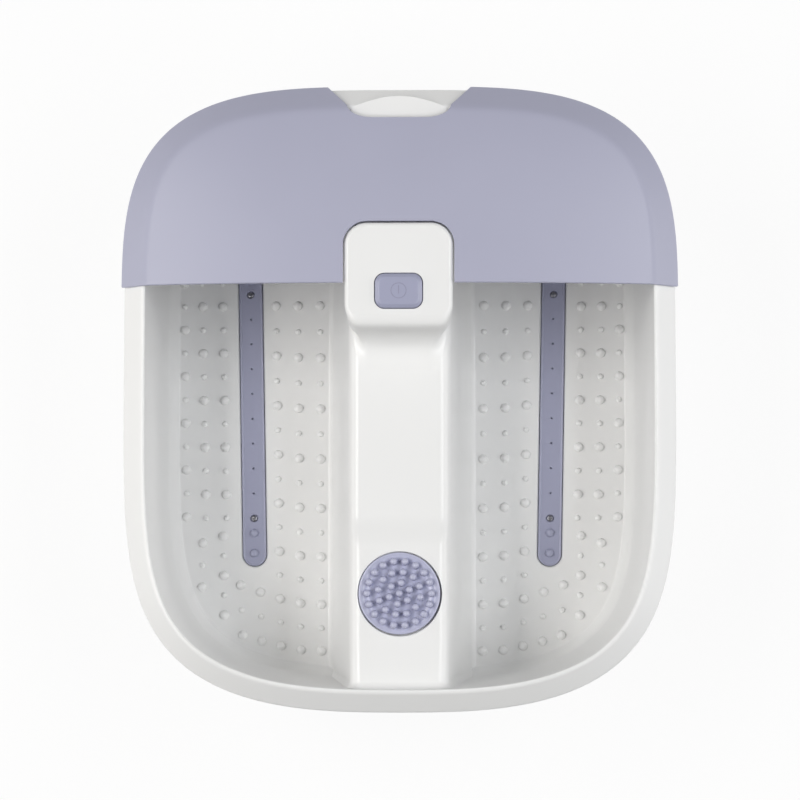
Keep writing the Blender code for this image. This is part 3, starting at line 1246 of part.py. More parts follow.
def make_blower_housing(material, cover_material):
    """The blower's drum on its foot, two spouts for the hoses, and the front cover."""
    place = along_y(0, BLOWER_FRONT_Y, MOTOR_Z)
    drum = [(BLOWER_RADIUS, 0.0), (BLOWER_RADIUS, BLOWER_LENGTH)]
    bm = bmesh.new()
    add_turned(bm, drum, ROUND_STEPS, place)
    housing = finish_object("blower_housing", bm, material)
    foot_top = MOTOR_Z - BLOWER_RADIUS + BLOWER_FOOT_HALF_WIDTH / 2
    combine(housing, helper("add_blower_foot", lambda bm: add_box(
        bm, (-BLOWER_FOOT_HALF_WIDTH, BLOWER_FRONT_Y + GAP, PAN_TOP_Z + GAP),
        (BLOWER_FOOT_HALF_WIDTH, BLOWER_REAR_Y - GAP, foot_top))), "UNION")
    reach = BLOWER_FOOT_HALF_WIDTH + SPOUT_REACH
    combine(housing, helper("add_spouts", lambda bm: add_prism(
        bm, circle(NIPPLE_RADIUS, HOSE_SIDES), -reach, reach, along_x(0, BLOWER_Y, SPOUT_Z, 1))), "UNION")
    inner = [(BLOWER_RADIUS - BLOWER_WALL, -OVERRUN), (BLOWER_RADIUS - BLOWER_WALL, BLOWER_LENGTH - BLOWER_WALL)]
    combine(housing, helper("cut_drum", lambda bm: add_turned(bm, inner, ROUND_STEPS, place)))
    inlet = [(BLOWER_INLET_RADIUS, BLOWER_LENGTH / 2), (BLOWER_INLET_RADIUS, BLOWER_LENGTH + OVERRUN)]
    combine(housing, helper("cut_inlet", lambda bm: add_turned(bm, inlet, ROUND_STEPS // 2, place)))
    combine(housing, helper("cut_duct", lambda bm: add_box(
        bm, (-DUCT_HALF_WIDTH, BLOWER_Y - NIPPLE_RADIUS, SPOUT_Z - NIPPLE_RADIUS),
        (DUCT_HALF_WIDTH, BLOWER_Y + NIPPLE_RADIUS, foot_top))))
    combine(housing, helper("cut_spouts", lambda bm: add_prism(
        bm, circle(NIPPLE_BORE, HOSE_SIDES), -reach - OVERRUN, reach + OVERRUN,
        along_x(0, BLOWER_Y, SPOUT_Z, 1))))
    bm = bmesh.new()
    add_turned(bm, [(BLOWER_RADIUS, -GAP - BLOWER_WALL), (BLOWER_RADIUS, -GAP)], ROUND_STEPS, place)
    cover = finish_object("blower_cover", bm, cover_material)
    hole = circle(SHAFT_RADIUS + 3 * GAP, HEAD_SIDES)
    combine(cover, helper("cut_cover", lambda bm: add_prism(
        bm, hole, -GAP - BLOWER_WALL - OVERRUN, OVERRUN, place)))


def hose_route(side):
    """Points and directions along a hose: out of the spout, a bend, and up to the strip's nipple."""
    start_x, end_z = BLOWER_FOOT_HALF_WIDTH + GAP, AIR_PAD_Z - GAP
    route = [((side * start_x, BLOWER_Y, SPOUT_Z), 0.0)]
    for step in range(HOSE_BEND_STEPS + 1):
        angle = math.pi / 2 * step / HOSE_BEND_STEPS
        x = STRIP_X - HOSE_BEND + HOSE_BEND * math.sin(angle)
        route.append(((side * x, BLOWER_Y, SPOUT_Z + HOSE_BEND * (1 - math.cos(angle))), angle))
    route.append(((side * STRIP_X, BLOWER_Y, end_z), math.pi / 2))
    return route


def make_air_hose(name, side, material):
    """A hose pushed over a spout of the blower and over a strip's nipple."""
    bm = bmesh.new()
    walls = []
    for radius in (HOSE_RADIUS, NIPPLE_RADIUS + GAP):
        rows = []
        for centre, angle in hose_route(side):
            frame = Matrix.Translation(centre) @ Matrix.Rotation(side * (math.pi / 2 - angle), 4, "Y")
            rows.append([bm.verts.new(frame @ Vector((x, y, 0))) for x, y in circle(radius, HOSE_SIDES)])
        walls.append(rows)
    loop = walls[0] + list(reversed(walls[1]))
    for row, following in zip(loop, loop[1:] + loop[:1]):
        for index in range(HOSE_SIDES):
            after = (index + 1) % HOSE_SIDES
            bm.faces.new((row[index], row[after], following[after], following[index]))
    finish_object(name, bm, material)


def fill_heater_rod(bm, side):
    """The U-shaped heating rod under a plate."""
    z = heater_plate_low_z() - HEATER_ROD_RADIUS / 2
    bend_y = HEATER_REAR_Y - HEATER_BEND_MARGIN
    front_y = HEATER_FRONT_Y + 2 * HEATER_SCREW_MARGIN
    route = [(-HEATER_ROD_SPREAD, front_y, 0.0)]
    for step in range(HOSE_BEND_STEPS + 1):
        angle = math.pi * step / HOSE_BEND_STEPS
        route.append((-HEATER_ROD_SPREAD * math.cos(angle), bend_y + HEATER_ROD_SPREAD * math.sin(angle), angle))
    route.append((HEATER_ROD_SPREAD, front_y, math.pi))
    rings = []
    for x, y, angle in route:
        frame = at(side * HEATER_X + x, y, z) @ Matrix.Rotation(-angle, 4, "Z") @ along_y(0, 0, 0)
        rings.append([frame @ Vector((u, v, 0)) for u, v in circle(HEATER_ROD_RADIUS, HEAD_SIDES)])
    add_loft(bm, rings)


def make_heater(name, side, material, screw_material):
    """A heating plate under one well's floor, with the rod fused below it, and its screws."""
    low, high = heater_plate_low_z(), FLOOR_UNDER_Z - GAP
    bm = bmesh.new()
    add_box(bm, (side * HEATER_X - HEATER_HALF_WIDTH, HEATER_FRONT_Y, low),
            (side * HEATER_X + HEATER_HALF_WIDTH, HEATER_REAR_Y, high))
    heater = finish_object(name, bm, material)
    combine(heater, helper("add_rod_" + name, lambda bm: fill_heater_rod(bm, side)), "UNION")
    places = [place for place in heater_screw_places() if place[0] * side > 0]
    for end, place in zip(("front", "rear"), places):
        hole = circle(HEATER_BOSS_RADIUS + GAP, HEAD_SIDES, place)
        combine(heater, helper("cut_" + end + "_" + name, lambda bm: add_prism(
            bm, hole, low - OVERRUN, high + OVERRUN)))
        make_screw(name + "_screw_" + end, screw_material, (*place, low - GAP), HEATER_SCREW_LENGTH,
                   SMALL_SCREW_RADIUS, HEATER_SCREW_HEAD, SMALL_SCREW_HEAD_HEIGHT, head_up=False)


def make_thermostat(material):
    """The disc thermostat under the left heating plate."""
    high = heater_plate_low_z() - GAP
    cap = THERMOSTAT_HEIGHT / 3
    profile = [(THERMOSTAT_RADIUS - cap / 2, high - THERMOSTAT_HEIGHT),
               (THERMOSTAT_RADIUS - cap / 2, high - cap), (THERMOSTAT_RADIUS, high - cap), (THERMOSTAT_RADIUS, high)]
    bm = bmesh.new()
    add_turned(bm, profile, 2 * HEAD_SIDES)
    thermostat = finish_object("thermostat", bm, material)
    thermostat.location = (-HEATER_X, HEATER_REAR_Y - THERMOSTAT_MARGIN, 0)


def make_control_board(board_material, part_material, terminal_material):
    """The control board on its posts, with its capacitor and its terminal block."""
    low = PAN_TOP_Z + BOARD_POST_HEIGHT + GAP
    high = low + BOARD_THICKNESS
    bm = bmesh.new()
    add_box(bm, (BOARD_X - BOARD_HALF_WIDTH, BOARD_Y - BOARD_HALF_DEPTH, low),
            (BOARD_X + BOARD_HALF_WIDTH, BOARD_Y + BOARD_HALF_DEPTH, high))
    finish_object("control_board", bm, board_material)
    bm = bmesh.new()
    x = BOARD_X - BOARD_HALF_WIDTH / 2
    add_box(bm, (x - CAPACITOR_HALF_WIDTH, BOARD_Y - CAPACITOR_HALF_DEPTH, high + GAP),
            (x + CAPACITOR_HALF_WIDTH, BOARD_Y + CAPACITOR_HALF_DEPTH, high + GAP + CAPACITOR_HEIGHT))
    finish_object("capacitor", bm, part_material)
    bm = bmesh.new()
    x = BOARD_X + BOARD_HALF_WIDTH / 2
    add_box(bm, (x - TERMINAL_HALF_WIDTH, BOARD_Y - TERMINAL_HALF_DEPTH, high + GAP),
            (x + TERMINAL_HALF_WIDTH, BOARD_Y + TERMINAL_HALF_DEPTH, high + GAP + TERMINAL_HEIGHT))
    finish_object("terminal_block", bm, terminal_material)


def make_cord_gland(material):
    """The bush in the rear wall through which the mains lead would enter."""
    profile = [(GLAND_NECK, -WALL - GLAND_TAIL), (GLAND_NECK, GAP), (GLAND_FLANGE, GAP),
               (GLAND_FLANGE, GAP + GLAND_FLANGE_THICKNESS)]
    bm = bmesh.new()
    add_turned(bm, profile, 2 * HEAD_SIDES, gland_matrix())
    gland = finish_object("cord_gland", bm, material)
    bore = circle(GLAND_BORE, HEAD_SIDES)
    combine(gland, helper("cut_gland", lambda bm: add_prism(
        bm, bore, -WALL - GLAND_TAIL - OVERRUN, GLAND_FLANGE_THICKNESS + OVERRUN, gland_matrix())))


def main():
    """Build every piece of the bath."""
    clear_scene()
    white = plastic("tub_white", (0.86, 0.86, 0.85), 0.35)
    lilac = plastic("guard_lilac", (0.38, 0.39, 0.55), 0.4)
    trim = plastic("trim_lilac", (0.30, 0.29, 0.48), 0.4)
    grey = plastic("inner_grey", (0.35, 0.36, 0.38), 0.5)
    black = plastic("inner_black", (0.05, 0.05, 0.055), 0.5)
    rubber = plastic("rubber_grey", (0.12, 0.12, 0.13), 0.8)
    steel = plastic("steel", (0.62, 0.63, 0.65), 0.3, 1.0)
    iron = plastic("core_iron", (0.32, 0.32, 0.34), 0.45, 1.0)
    copper = plastic("coil_copper", (0.55, 0.25, 0.12), 0.4, 1.0)
    alloy = plastic("heater_alloy", (0.70, 0.70, 0.70), 0.4, 1.0)
    board = plastic("board_green", (0.05, 0.22, 0.10), 0.5)
    make_tub(white)
    make_splash_guard(lilac)
    make_air_strip("air_strip_left", -1, trim, steel)
    make_air_strip("air_strip_right", 1, trim, steel)
    make_massage_disc(trim)
    make_power_button(trim)
    make_button_gasket(rubber)
    make_switch_carrier(grey, steel)
    make_switch(black, white)
    make_button_spring(steel)
    make_base_pan(grey, rubber, steel)
    make_motor(iron, copper, steel)
    make_rotor(steel)
    make_eccentric_weight(steel)
    make_impeller(grey)
    make_blower_housing(grey, grey)
    make_air_hose("air_hose_left", -1, rubber)
    make_air_hose("air_hose_right", 1, rubber)
    make_heater("heater_left", -1, alloy, steel)
    make_heater("heater_right", 1, alloy, steel)
    make_thermostat(black)
    make_control_board(board, trim, black)
    make_cord_gland(rubber)


main()
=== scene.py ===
"""Foot spa bath: the dressed model, its materials and its studio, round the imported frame.

Metres, +Z up, +Y to the rear, where the splash guard lies. Every new surface is a set of
whole arrays: a profile carried round an outline, or a section carried along the ridge.
"""
import math

import bpy
import numpy as np
from mathutils import Matrix, Vector


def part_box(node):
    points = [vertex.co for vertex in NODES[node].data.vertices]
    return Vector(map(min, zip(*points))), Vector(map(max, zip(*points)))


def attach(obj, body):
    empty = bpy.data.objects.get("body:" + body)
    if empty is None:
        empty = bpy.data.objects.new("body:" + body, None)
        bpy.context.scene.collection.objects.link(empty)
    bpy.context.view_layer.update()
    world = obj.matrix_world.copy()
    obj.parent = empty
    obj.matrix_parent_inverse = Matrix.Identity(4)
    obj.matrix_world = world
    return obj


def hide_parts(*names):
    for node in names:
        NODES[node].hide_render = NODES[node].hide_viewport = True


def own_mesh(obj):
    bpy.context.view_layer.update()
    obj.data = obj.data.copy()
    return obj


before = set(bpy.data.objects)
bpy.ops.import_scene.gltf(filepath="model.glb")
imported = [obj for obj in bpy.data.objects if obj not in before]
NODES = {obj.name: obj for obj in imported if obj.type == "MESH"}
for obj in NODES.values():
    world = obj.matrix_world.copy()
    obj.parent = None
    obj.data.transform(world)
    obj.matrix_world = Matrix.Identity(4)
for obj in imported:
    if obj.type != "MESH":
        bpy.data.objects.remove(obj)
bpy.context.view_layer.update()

GAP = 0.0003
WALL = 0.0024
OVERRUN = 0.002
CUT_REACH = 0.05

# Points round a turned form, from the finest wire to the disc, and the least lengths that count
WIRE_SIDES = 8
NUB_SIDES = 12
PEG_SIDES = 16
STRIP_NUB_SIDES = 20
SCREW_SIDES = 24
STEM_SIDES = 32
BORE_SIDES = 48
RING_SIDES = 64
DISH_SIDES = 72
DISC_SIDES = 128
SHORTEST_EDGE = 1e-9
SHORTEST_STEP = 1e-7

# Rim outline seen from above: two half superellipses that share the widest line
RIM_HALF_WIDTH = 0.1732
REAR_REACH = 0.1463
FRONT_REACH = 0.2452
GUARD_OVERHANG = 0.0014
WIDEST_Y = (FRONT_REACH - REAR_REACH - GUARD_OVERHANG) / 2
REAR_Y = WIDEST_Y + REAR_REACH
FRONT_Y = WIDEST_Y - FRONT_REACH
REAR_EXPONENTS = (3.575, 3.575)
FRONT_EXPONENTS = (2.81, 5.35)
OUTLINE_COUNT = 384
OUTLINE_DRAFT = 8192

# Rim, basin and floor
CREST_Z = 0.152
CREST_INSET = 0.0126
RIM_EDGE_Z = 0.1425
RIM_EDGE_INSET = 0.001
RIM_SLOPE = (CREST_Z - RIM_EDGE_Z) / (CREST_INSET - RIM_EDGE_INSET)
FLOOR_Z = 0.045
BASIN_INSET = 0.0141
BASIN_FOOT_INSET = 0.0207

# The shell's section: inset from the rim's outline, height, and how far its corner is rounded
TUB_SECTION = (
    (0.0360, 0.0426, 0.0), (0.0187, 0.0426, 0.0050), (0.0117, 0.1492, 0.0012),
    (0.0079, 0.1448, 0.0010), (0.0079, 0.1300, 0.0004), (0.0199, 0.0060, 0.0003),
    (0.0175, 0.0060, 0.0005), (0.0056, 0.1292, 0.0020), (0.0004, 0.1318, 0.0016),
    (0.0000, 0.1410, 0.0020), (0.0122, 0.1523, 0.0016), (0.0145, 0.1523, 0.0013),
    (0.0200, 0.0525, 0.0060), (0.0257, FLOOR_Z, 0.0010), (0.0360, FLOOR_Z, 0.0))
CORNER_POINTS = 8
FINE_CORNER_POINTS = 5
DISC_CORNER_POINTS = 6
BUTTON_CORNER_POINTS = 7

# Ridge between the wells
RIDGE_BASE = 0.0458
RIDGE_TOP = 0.0314
RIDGE_Z = 0.136
PAD_Z = 0.142
RIDGE_FRONT_Z = 0.146
RAMP = (-0.0955, -0.0716)
RIDGE_FILLET = 0.0032
RIDGE_EDGE = 0.0065
RIDGE_END_FILLET = 0.005
RIDGE_END_SINK = 0.0012
RIDGE_STATIONS = 150
RIDGE_END_STATIONS = 12
RIDGE_BEND_POINTS = 9
RIDGE_SIDE_POINTS = 8
RIDGE_TOP_POINTS = 14
RIDGE_BLEND = 0.03

# Console, its shallow dish round the button, and the button
CONSOLE_HALF = 0.0336
CONSOLE_Y = (0.04645, 0.10665)
CONSOLE_Z = 0.168
CONSOLE_RADII = (0.0088, 0.0138)
CONSOLE_ROOT_Z = 0.117
CONSOLE_ROLL = 0.0027
CONSOLE_LEVELS = 40
# The console's front face: how far it stands forward, height, and how far its corner is rounded
CONSOLE_FACE = ((0.0290, 0.1360, 0.0), (0.0190, 0.1368, 0.0060), (0.0068, 0.1425, 0.0100),
                (0.0048, 0.1660, 0.0040), (0.0, CONSOLE_Z, 0.0))
CONSOLE_FACE_POINTS = 16
CONSOLE_FACE_POWER = 4
# How far the console narrows towards its front foot, and up to what height over the ridge
CONSOLE_TOE = 0.27
CONSOLE_TOE_HEIGHT = 0.013
CONSOLE_TOE_LEVELS = 8
BUTTON_Y = 0.06375
BUTTON_HALF = (0.0147, 0.0108)
BUTTON_RADIUS = 0.006
BUTTON_TOP_Z = 0.170
BUTTON_SECTION = ((-0.0018, 0.1641, 0.0), (-0.0018, 0.1653, 0.0), (0.0, 0.1653, 0.0),
                  (0.0, 0.1681, 0.0006), (0.0024, 0.1700, 0.0008), (0.0044, 0.1699, 0.0))
BUTTON_GAP = 0.0005
STEM_SECTION = ((0.0032, 0.1581), (0.0032, 0.1646))
DISH_HALF = (0.0178, 0.0118)
DISH_DEPTH = 0.0008
DISH_SPREAD = (0.02, 1.5)
DISH_LEVELS = 14
SYMBOL_RADIUS = 0.0047
SYMBOL_LINE = 0.00030
SYMBOL_BAR = (-0.0020, 0.0034)

# Button's spring
SPRING_WIRE = 0.0005
SPRING_TURNS = 3.5
SPRING_STEPS = 32

# Massage disc and its socket
DISC_Y = -0.12255
DISC_RADIUS = 0.0255
DISC_FLOOR_Z = 0.137
DISC_TOP_Z = 0.1428
DISC_SECTION = ((0.0255, 0.1373, 0.0), (0.0255, 0.1428, 0.0008), (0.0241, 0.1429, 0.0002),
                (0.0239, 0.1427, 0.0002), (0.0225, 0.1427, 0.0012), (0.0196, 0.1410, 0.0020),
                (0.0010, 0.1405, 0.0))
SPIGOT = (0.008, 0.1293)
SOCKET_SHIFT = (0.0003, -0.0003)
SOCKET_SECTION = ((0.0262, DISC_FLOOR_Z), (0.0262, 0.1413), (0.0266, 0.1419), (0.0272, 0.1424),
                  (0.0285, 0.155))
SPIGOT_CLEARANCE = 0.0004
PEG_RINGS = ((1, 0.0, 0.0), (6, 0.26, 19.6), (12, 0.52, 19.8), (18, 0.783, 0.0))
PEG_SECTION = ((0.0026, -0.0028, 0.0), (0.0021, 0.0050, 0.0020), (0.0002, 0.0051, 0.0))
PEG_SINK = 3 * GAP

# Air strips in the floors
STRIP_X = 0.0990
STRIP_Y = 0.002
STRIP_SPLAY = math.radians(1.15)
STRIP_WIDTH = 0.016
STRIP_LENGTH = 0.2118
STRIP_SEAT_Z = 0.0424
STRIP_TOP_Z = 0.0459
STRIP_FACE_Z = 0.0455
STRIP_SECTION = ((0.0003, 0.0427), (0.0003, 0.0452), (0.0006, 0.0458), (0.0009, STRIP_TOP_Z),
                 (0.0014, 0.0458), (0.0018, STRIP_FACE_Z), (0.0040, STRIP_FACE_Z))
STRIP_SEAT_SECTION = ((-0.0001, STRIP_SEAT_Z), (-0.0001, 0.0443), (-0.0009, 0.0450),
                      (-0.0030, 0.0470))
STRIP_HOLES = 8
STRIP_HOLE_PITCH = 0.01649
STRIP_SCREW_REACH = 0.0742
STRIP_NUB_REACHES = (0.0838, 0.0971)
STRIP_NUB = (0.0029, 0.0032)
PINHOLE_SECTION = ((0.0007, -0.0022), (0.0007, 0.0020))
SCREW_SEAT_SECTION = ((0.0025, -0.0014), (0.0026, -0.0003), (0.0031, 0.0020))
SCREW_SECTION = ((0.0005, -0.0046, 0.0), (0.0012, -0.0036, 0.0003), (0.0012, 0.0, 0.0),
                 (0.0021, 0.0, 0.0001), (0.0021, 0.0005, 0.0003), (0.0010, 0.0009, 0.0003),
                 (0.0002, 0.00095, 0.0))
SCREW_HEAD_Z = 0.0443
SCREW_SLOT = (0.0013, 0.0003)

# Massage nubs: radius and height of each size, and the columns of the left well from rear to front.
# A column is its two x, its two y, how far it sags to the front in its middle, how many nubs it
# has, and where its first large nub is.
LARGE_NUB = (0.0032, 0.0030)
SMALL_NUB = (0.0020, 0.0021)
NUB_SHARES = (1.0, 1.0, 0.86, 0.72, 0.56, 0.38, 0.18)
NUB_SINK = 0.001
NUB_STEEPNESS = 0.5
NUB_COLUMNS = (
    (-0.1447, -0.1419, 0.0994, -0.0712, 0.0, 12, 1),
    (-0.1329, -0.1291, 0.0994, -0.0719, 0.0, 12, 0),
    (-0.1193, -0.1155, 0.0994, -0.0719, 0.0, 12, 0),
    (-0.1311, -0.1316, -0.0884, -0.1173, 0.0, 3, 0),
    (-0.1177, -0.1168, -0.0837, -0.1357, 0.0, 5, 0),
    (-0.1060, -0.1046, -0.1160, -0.1488, 0.0, 3, 0),
    (-0.0932, -0.0920, -0.1206, -0.1527, 0.0, 3, 0),
    (-0.0843, -0.0795, 0.1026, -0.1558, 0.0034, 17, 0),
    (-0.0695, -0.0664, 0.1038, -0.1585, 0.0051, 17, 0),
    (-0.0546, -0.0529, 0.1042, -0.1593, 0.0055, 17, 0))

# Splash guard
GUARD_FRONT_Y = 0.06895
GUARD_WALL = 0.0022
CREASE_INSET = 0.0142
HOLLOW_CREASE_INSET = 0.0150
GUARD_CROWN = 0.012
CROWN_EXPONENT = 2.6
# Rings of the guard: how many in the skirt and in each part of the dome, and which shares they reach
SKIRT_RINGS = 8
DOME_SHARES = (1, 0.9, 0.12)
DOME_RINGS = (8, 40)
CREASE_RINGS = (5, 12)
EDGE_BEVEL = 0.0005
EDGE_POINTS = 120
NOTCH_GAP = 0.0009
# The finger notch, half of it, as (x, distance in from the guard's rear edge)
GRIP_MOUTH = ((0.0470, -0.0040), (0.0470, -0.0004), (0.0454, 0.0001), (0.0443, 0.0011),
              (0.0434, 0.0022))
# Its bottom: half its straight part, then the ellipse's reach to the side, its distance in, its depth
GRIP_BOTTOM = (0.0165, 0.0160, 0.0139, 0.0083)
GRIP_POINTS = 14

# Finger pad in the notch, and the ledge that carries it on under the guard
PAD_HALF_LENGTH = 0.031
PAD_BULGE = 0.0073
PAD_CHORD_INSET = 0.0131
PAD_TOP_Z = 0.1524
PAD_ROLL = 0.0008
PAD_POINTS = 33
PAD_ROLL_POINTS = 6
LEDGE_HALF_LENGTH = 0.033
LEDGE_Y = (0.17345, 0.18215)
LEDGE_Z = (0.1469, 0.1517)

# Feet
FOOT_PLACES = {"foot_front_left": (-0.1040, -0.1280), "foot_front_right": (0.1040, -0.1280),
               "foot_rear_left": (-0.1040, 0.14595), "foot_rear_right": (0.1040, 0.14595)}
FOOT_SECTION = ((0.0060, 0.0010, 0.0), (0.0066, 0.0, 0.0004), (0.0098, 0.0, 0.0010),
                (0.0105, 0.0040, 0.0010), (0.0105, 0.0065, 0.0002), (0.0038, 0.0065, 0.0),
                (0.0038, 0.0105, 0.0004), (0.0005, 0.0105, 0.0))

# The photograph's view
PHOTO_PLACE = (0.0309, -0.1405, 1.8237)
PHOTO_TARGET = (0.0006, -0.0027, 0.152)
PHOTO_LENS = 121.4
SENSOR_WIDTH = 36
CLIP_END = 20

# Studio: each soft box is its name, place, level and upright size, power and colour
FLOOR_HALF = 6
FLOOR_GREY = 0.9
FLOOR_ROUGHNESS = 0.9
FLOOR_GLOW = 0.9
SOFT_BOXES = (
    ("soft_box_left", (-1.1, 0.0, 1.8), (1.7, 0.6), 24, (1.0, 0.985, 0.96)),
    ("soft_box_right", (1.1, 0.0, 1.8), (1.7, 0.6), 18.5, (0.97, 0.985, 1.0)),
    ("low_box_left", (-2.0, 0.0, 0.62), (1.7, 0.6), 8.8, (1.0, 1.0, 0.99)),
    ("low_box_right", (2.0, 0.0, 0.62), (1.7, 0.6), 11.3, (1.0, 0.985, 0.97)))
WORLD_COLOUR = (1.0, 1.0, 1.0)
WORLD_STRENGTH = 0.06

# Surfaces: what all the moulded and worked materials share
COAT_ROUGHNESS = 0.2
MOTTLE_DETAIL = 3.0
GRAIN_DETAIL = 2.0
GRAIN_DEPTH = 0.0002
GLOSS_DRIFT = 0.12


# Arrays
def resample(points, count):
    """A closed outline with its points at equal steps of arc length."""
    closed = np.vstack((points, points[:1]))
    travelled = np.concatenate(([0.0], np.cumsum(np.linalg.norm(np.diff(closed, axis=0), axis=1))))
    wanted = np.linspace(0, travelled[-1], count, endpoint=False)
    return np.stack([np.interp(wanted, travelled, column) for column in closed.T], -1)


def superellipse():
    """The rim outline and its outward normals: |x/a|^m + |y/b|^n = 1, with its own m, n and b in
    each half."""
    angle = np.linspace(0, 2 * np.pi, OUTLINE_DRAFT, endpoint=False)
    rear = np.sin(angle) >= 0
    m = np.where(rear, REAR_EXPONENTS[0], FRONT_EXPONENTS[0])
    n = np.where(rear, REAR_EXPONENTS[1], FRONT_EXPONENTS[1])
    reach = np.where(rear, REAR_REACH, FRONT_REACH)
    u = np.sign(np.cos(angle)) * np.abs(np.cos(angle)) ** (2 / m)
    v = np.sign(np.sin(angle)) * np.abs(np.sin(angle)) ** (2 / n)
    normal = np.stack((m * np.sign(u) * np.abs(u) ** (m - 1) / RIM_HALF_WIDTH,
                       n * np.sign(v) * np.abs(v) ** (n - 1) / reach), -1)
    normal /= np.linalg.norm(normal, axis=1, keepdims=True)
    outline = np.stack((u * RIM_HALF_WIDTH, WIDEST_Y + v * reach), -1)
    both = resample(np.hstack((outline, normal)), OUTLINE_COUNT)
    both[:, 2:] /= np.linalg.norm(both[:, 2:], axis=1, keepdims=True)
    return both[:, :2], both[:, 2:]


RIM, RIM_NORMAL = superellipse()


def quarter(steps):
    """Angles of a quarter turn."""
    return np.radians(np.linspace(0, 90, steps))


def with_height(flat, z):
    """Rings seen from above, each given its height."""
    return np.concatenate((flat, np.broadcast_to(z[:, None, None], (*flat.shape[:2], 1))), -1)


def round_corners(corners, steps=CORNER_POINTS):
    """A polyline with each corner (x, y, size) turned into a parabola arc that starts that far
    from it."""
    corners = np.asarray(corners, float)
    point, size = corners[:, :2], corners[:, 2:3]
    before, after = np.roll(point, 1, axis=0), np.roll(point, -1, axis=0)
    before[0], after[-1] = point[0], point[-1]
    back, ahead = before - point, after - point
    back /= np.maximum(np.linalg.norm(back, axis=1, keepdims=True), SHORTEST_EDGE)
    ahead /= np.maximum(np.linalg.norm(ahead, axis=1, keepdims=True), SHORTEST_EDGE)
    t = np.linspace(0, 1, steps)[None, :, None]
    start, end = (point + back * size)[:, None], (point + ahead * size)[:, None]
    flat = ((1 - t) ** 2 * start + 2 * t * (1 - t) * point[:, None] + t ** 2 * end).reshape(-1, 2)
    keep = np.concatenate(([True], np.linalg.norm(np.diff(flat, axis=0), axis=1) > SHORTEST_STEP))
    return flat[keep]


def carried_round(section, outline, normal):
    """Rings of a section of (inset, z) carried round an outline, square to it."""
    inset, z = np.asarray(section, float)[:, :2].T
    return with_height(outline[None] - normal[None] * inset[:, None, None], z)


def rounded_box(half_x, front_y, rear_y, front_radius, rear_radius, steps=16):
    """A rectangle with round corners seen from above, counter-clockwise, and its outward normals."""
    turns = quarter(steps)
    parts, normals = [], []
    places = ((half_x, rear_y, rear_radius, 0), (-half_x, rear_y, rear_radius, 90),
              (-half_x, front_y, front_radius, 180), (half_x, front_y, front_radius, 270))
    for x, y, radius, start in places:
        angle = turns + math.radians(start)
        direction = np.stack((np.cos(angle), np.sin(angle)), -1)
        inwards = -radius if y == rear_y else radius
        centre = np.array((x - math.copysign(radius, x), y + inwards))
        parts.append(centre + direction * radius)
        normals.append(direction)
    return np.vstack(parts), np.vstack(normals)


def circle(count):
    """A unit circle, counter-clockwise; its points are its outward normals too."""
    angle = np.linspace(0, 2 * np.pi, count, endpoint=False)
    return np.stack((np.cos(angle), np.sin(angle)), -1)


def turned(section, count, centre=(0.0, 0.0)):
    """Rings of a section of (radius, z) turned about an upright axis."""
    radius, z = np.asarray(section, float)[:, :2].T
    return with_height(circle(count)[None] * radius[:, None, None] + np.asarray(centre), z)


def quads(rows, columns, wrap_rows=False):
    """Faces between neighbouring rings of a grid whose columns close on themselves."""
    steps = rows if wrap_rows else rows - 1
    i, j = np.meshgrid(np.arange(steps), np.arange(columns), indexing="ij")
    right, up = (j + 1) % columns, (i + 1) % rows
    corners = (i * columns + j, i * columns + right, up * columns + right, up * columns + j)
    return np.stack(corners, -1).reshape(-1, len(corners))


def solid_faces(rows, columns, offset=0):
    """Faces of a closed loft: its rings joined, with a flat end at both ends."""
    faces = (quads(rows, columns) + offset).tolist()
    faces.append((np.arange(columns)[::-1] + offset).tolist())
    faces.append((np.arange(columns) + (rows - 1) * columns + offset).tolist())
    return faces


# Meshes
def new_object(name, points, faces):
    """An object at the origin whose place is in its mesh."""
    mesh = bpy.data.meshes.new(name)
    mesh.from_pydata(np.asarray(points).reshape(-1, 3).tolist(), [], faces)
    mesh.update()
    obj = bpy.data.objects.new(name, mesh)
    bpy.context.scene.collection.objects.link(obj)
    return obj


def volume(obj):
    """Signed volume of a closed mesh: the sum of a . (b x c) / 6 over its triangles."""
    mesh = obj.data
    mesh.calc_loop_triangles()
    places = np.empty(len(mesh.vertices) * 3)
    mesh.vertices.foreach_get("co", places)
    corners = np.empty(len(mesh.loop_triangles) * 3, int)
    mesh.loop_triangles.foreach_get("vertices", corners)
    a, b, c = np.moveaxis(places.reshape(-1, 3)[corners.reshape(-1, 3)], 1, 0)
    return np.einsum("ij,ij->", a, np.cross(b, c)) / 6


def faces_out(obj):
    """Turn a closed mesh right side out."""
    if volume(obj) < 0:
        obj.data.flip_normals()
    return obj


def solid(name, rings):
    """A closed loft of rings as an object, right side out."""
    return faces_out(new_object(name, rings, solid_faces(rings.shape[0], rings.shape[1])))


def many_solids(name, rings, places):
    """One object that holds the same closed loft at each of the places."""
    rows, columns = rings.shape[:2]
    points = rings.reshape(1, -1, 3) + np.asarray(places)[:, None]
    faces = [face for index in range(len(places))
             for face in solid_faces(rows, columns, index * rows * columns)]
    return faces_out(new_object(name, points, faces))


def box(name, low, high):
    """A block between two corners, for cuts and plain ledges."""
    (x0, y0, z0), (x1, y1, z1) = low, high
    ring = np.array(((x0, y0), (x1, y0), (x1, y1), (x0, y1)))
    return solid(name, with_height(np.stack((ring, ring)), np.array((z0, z1))))


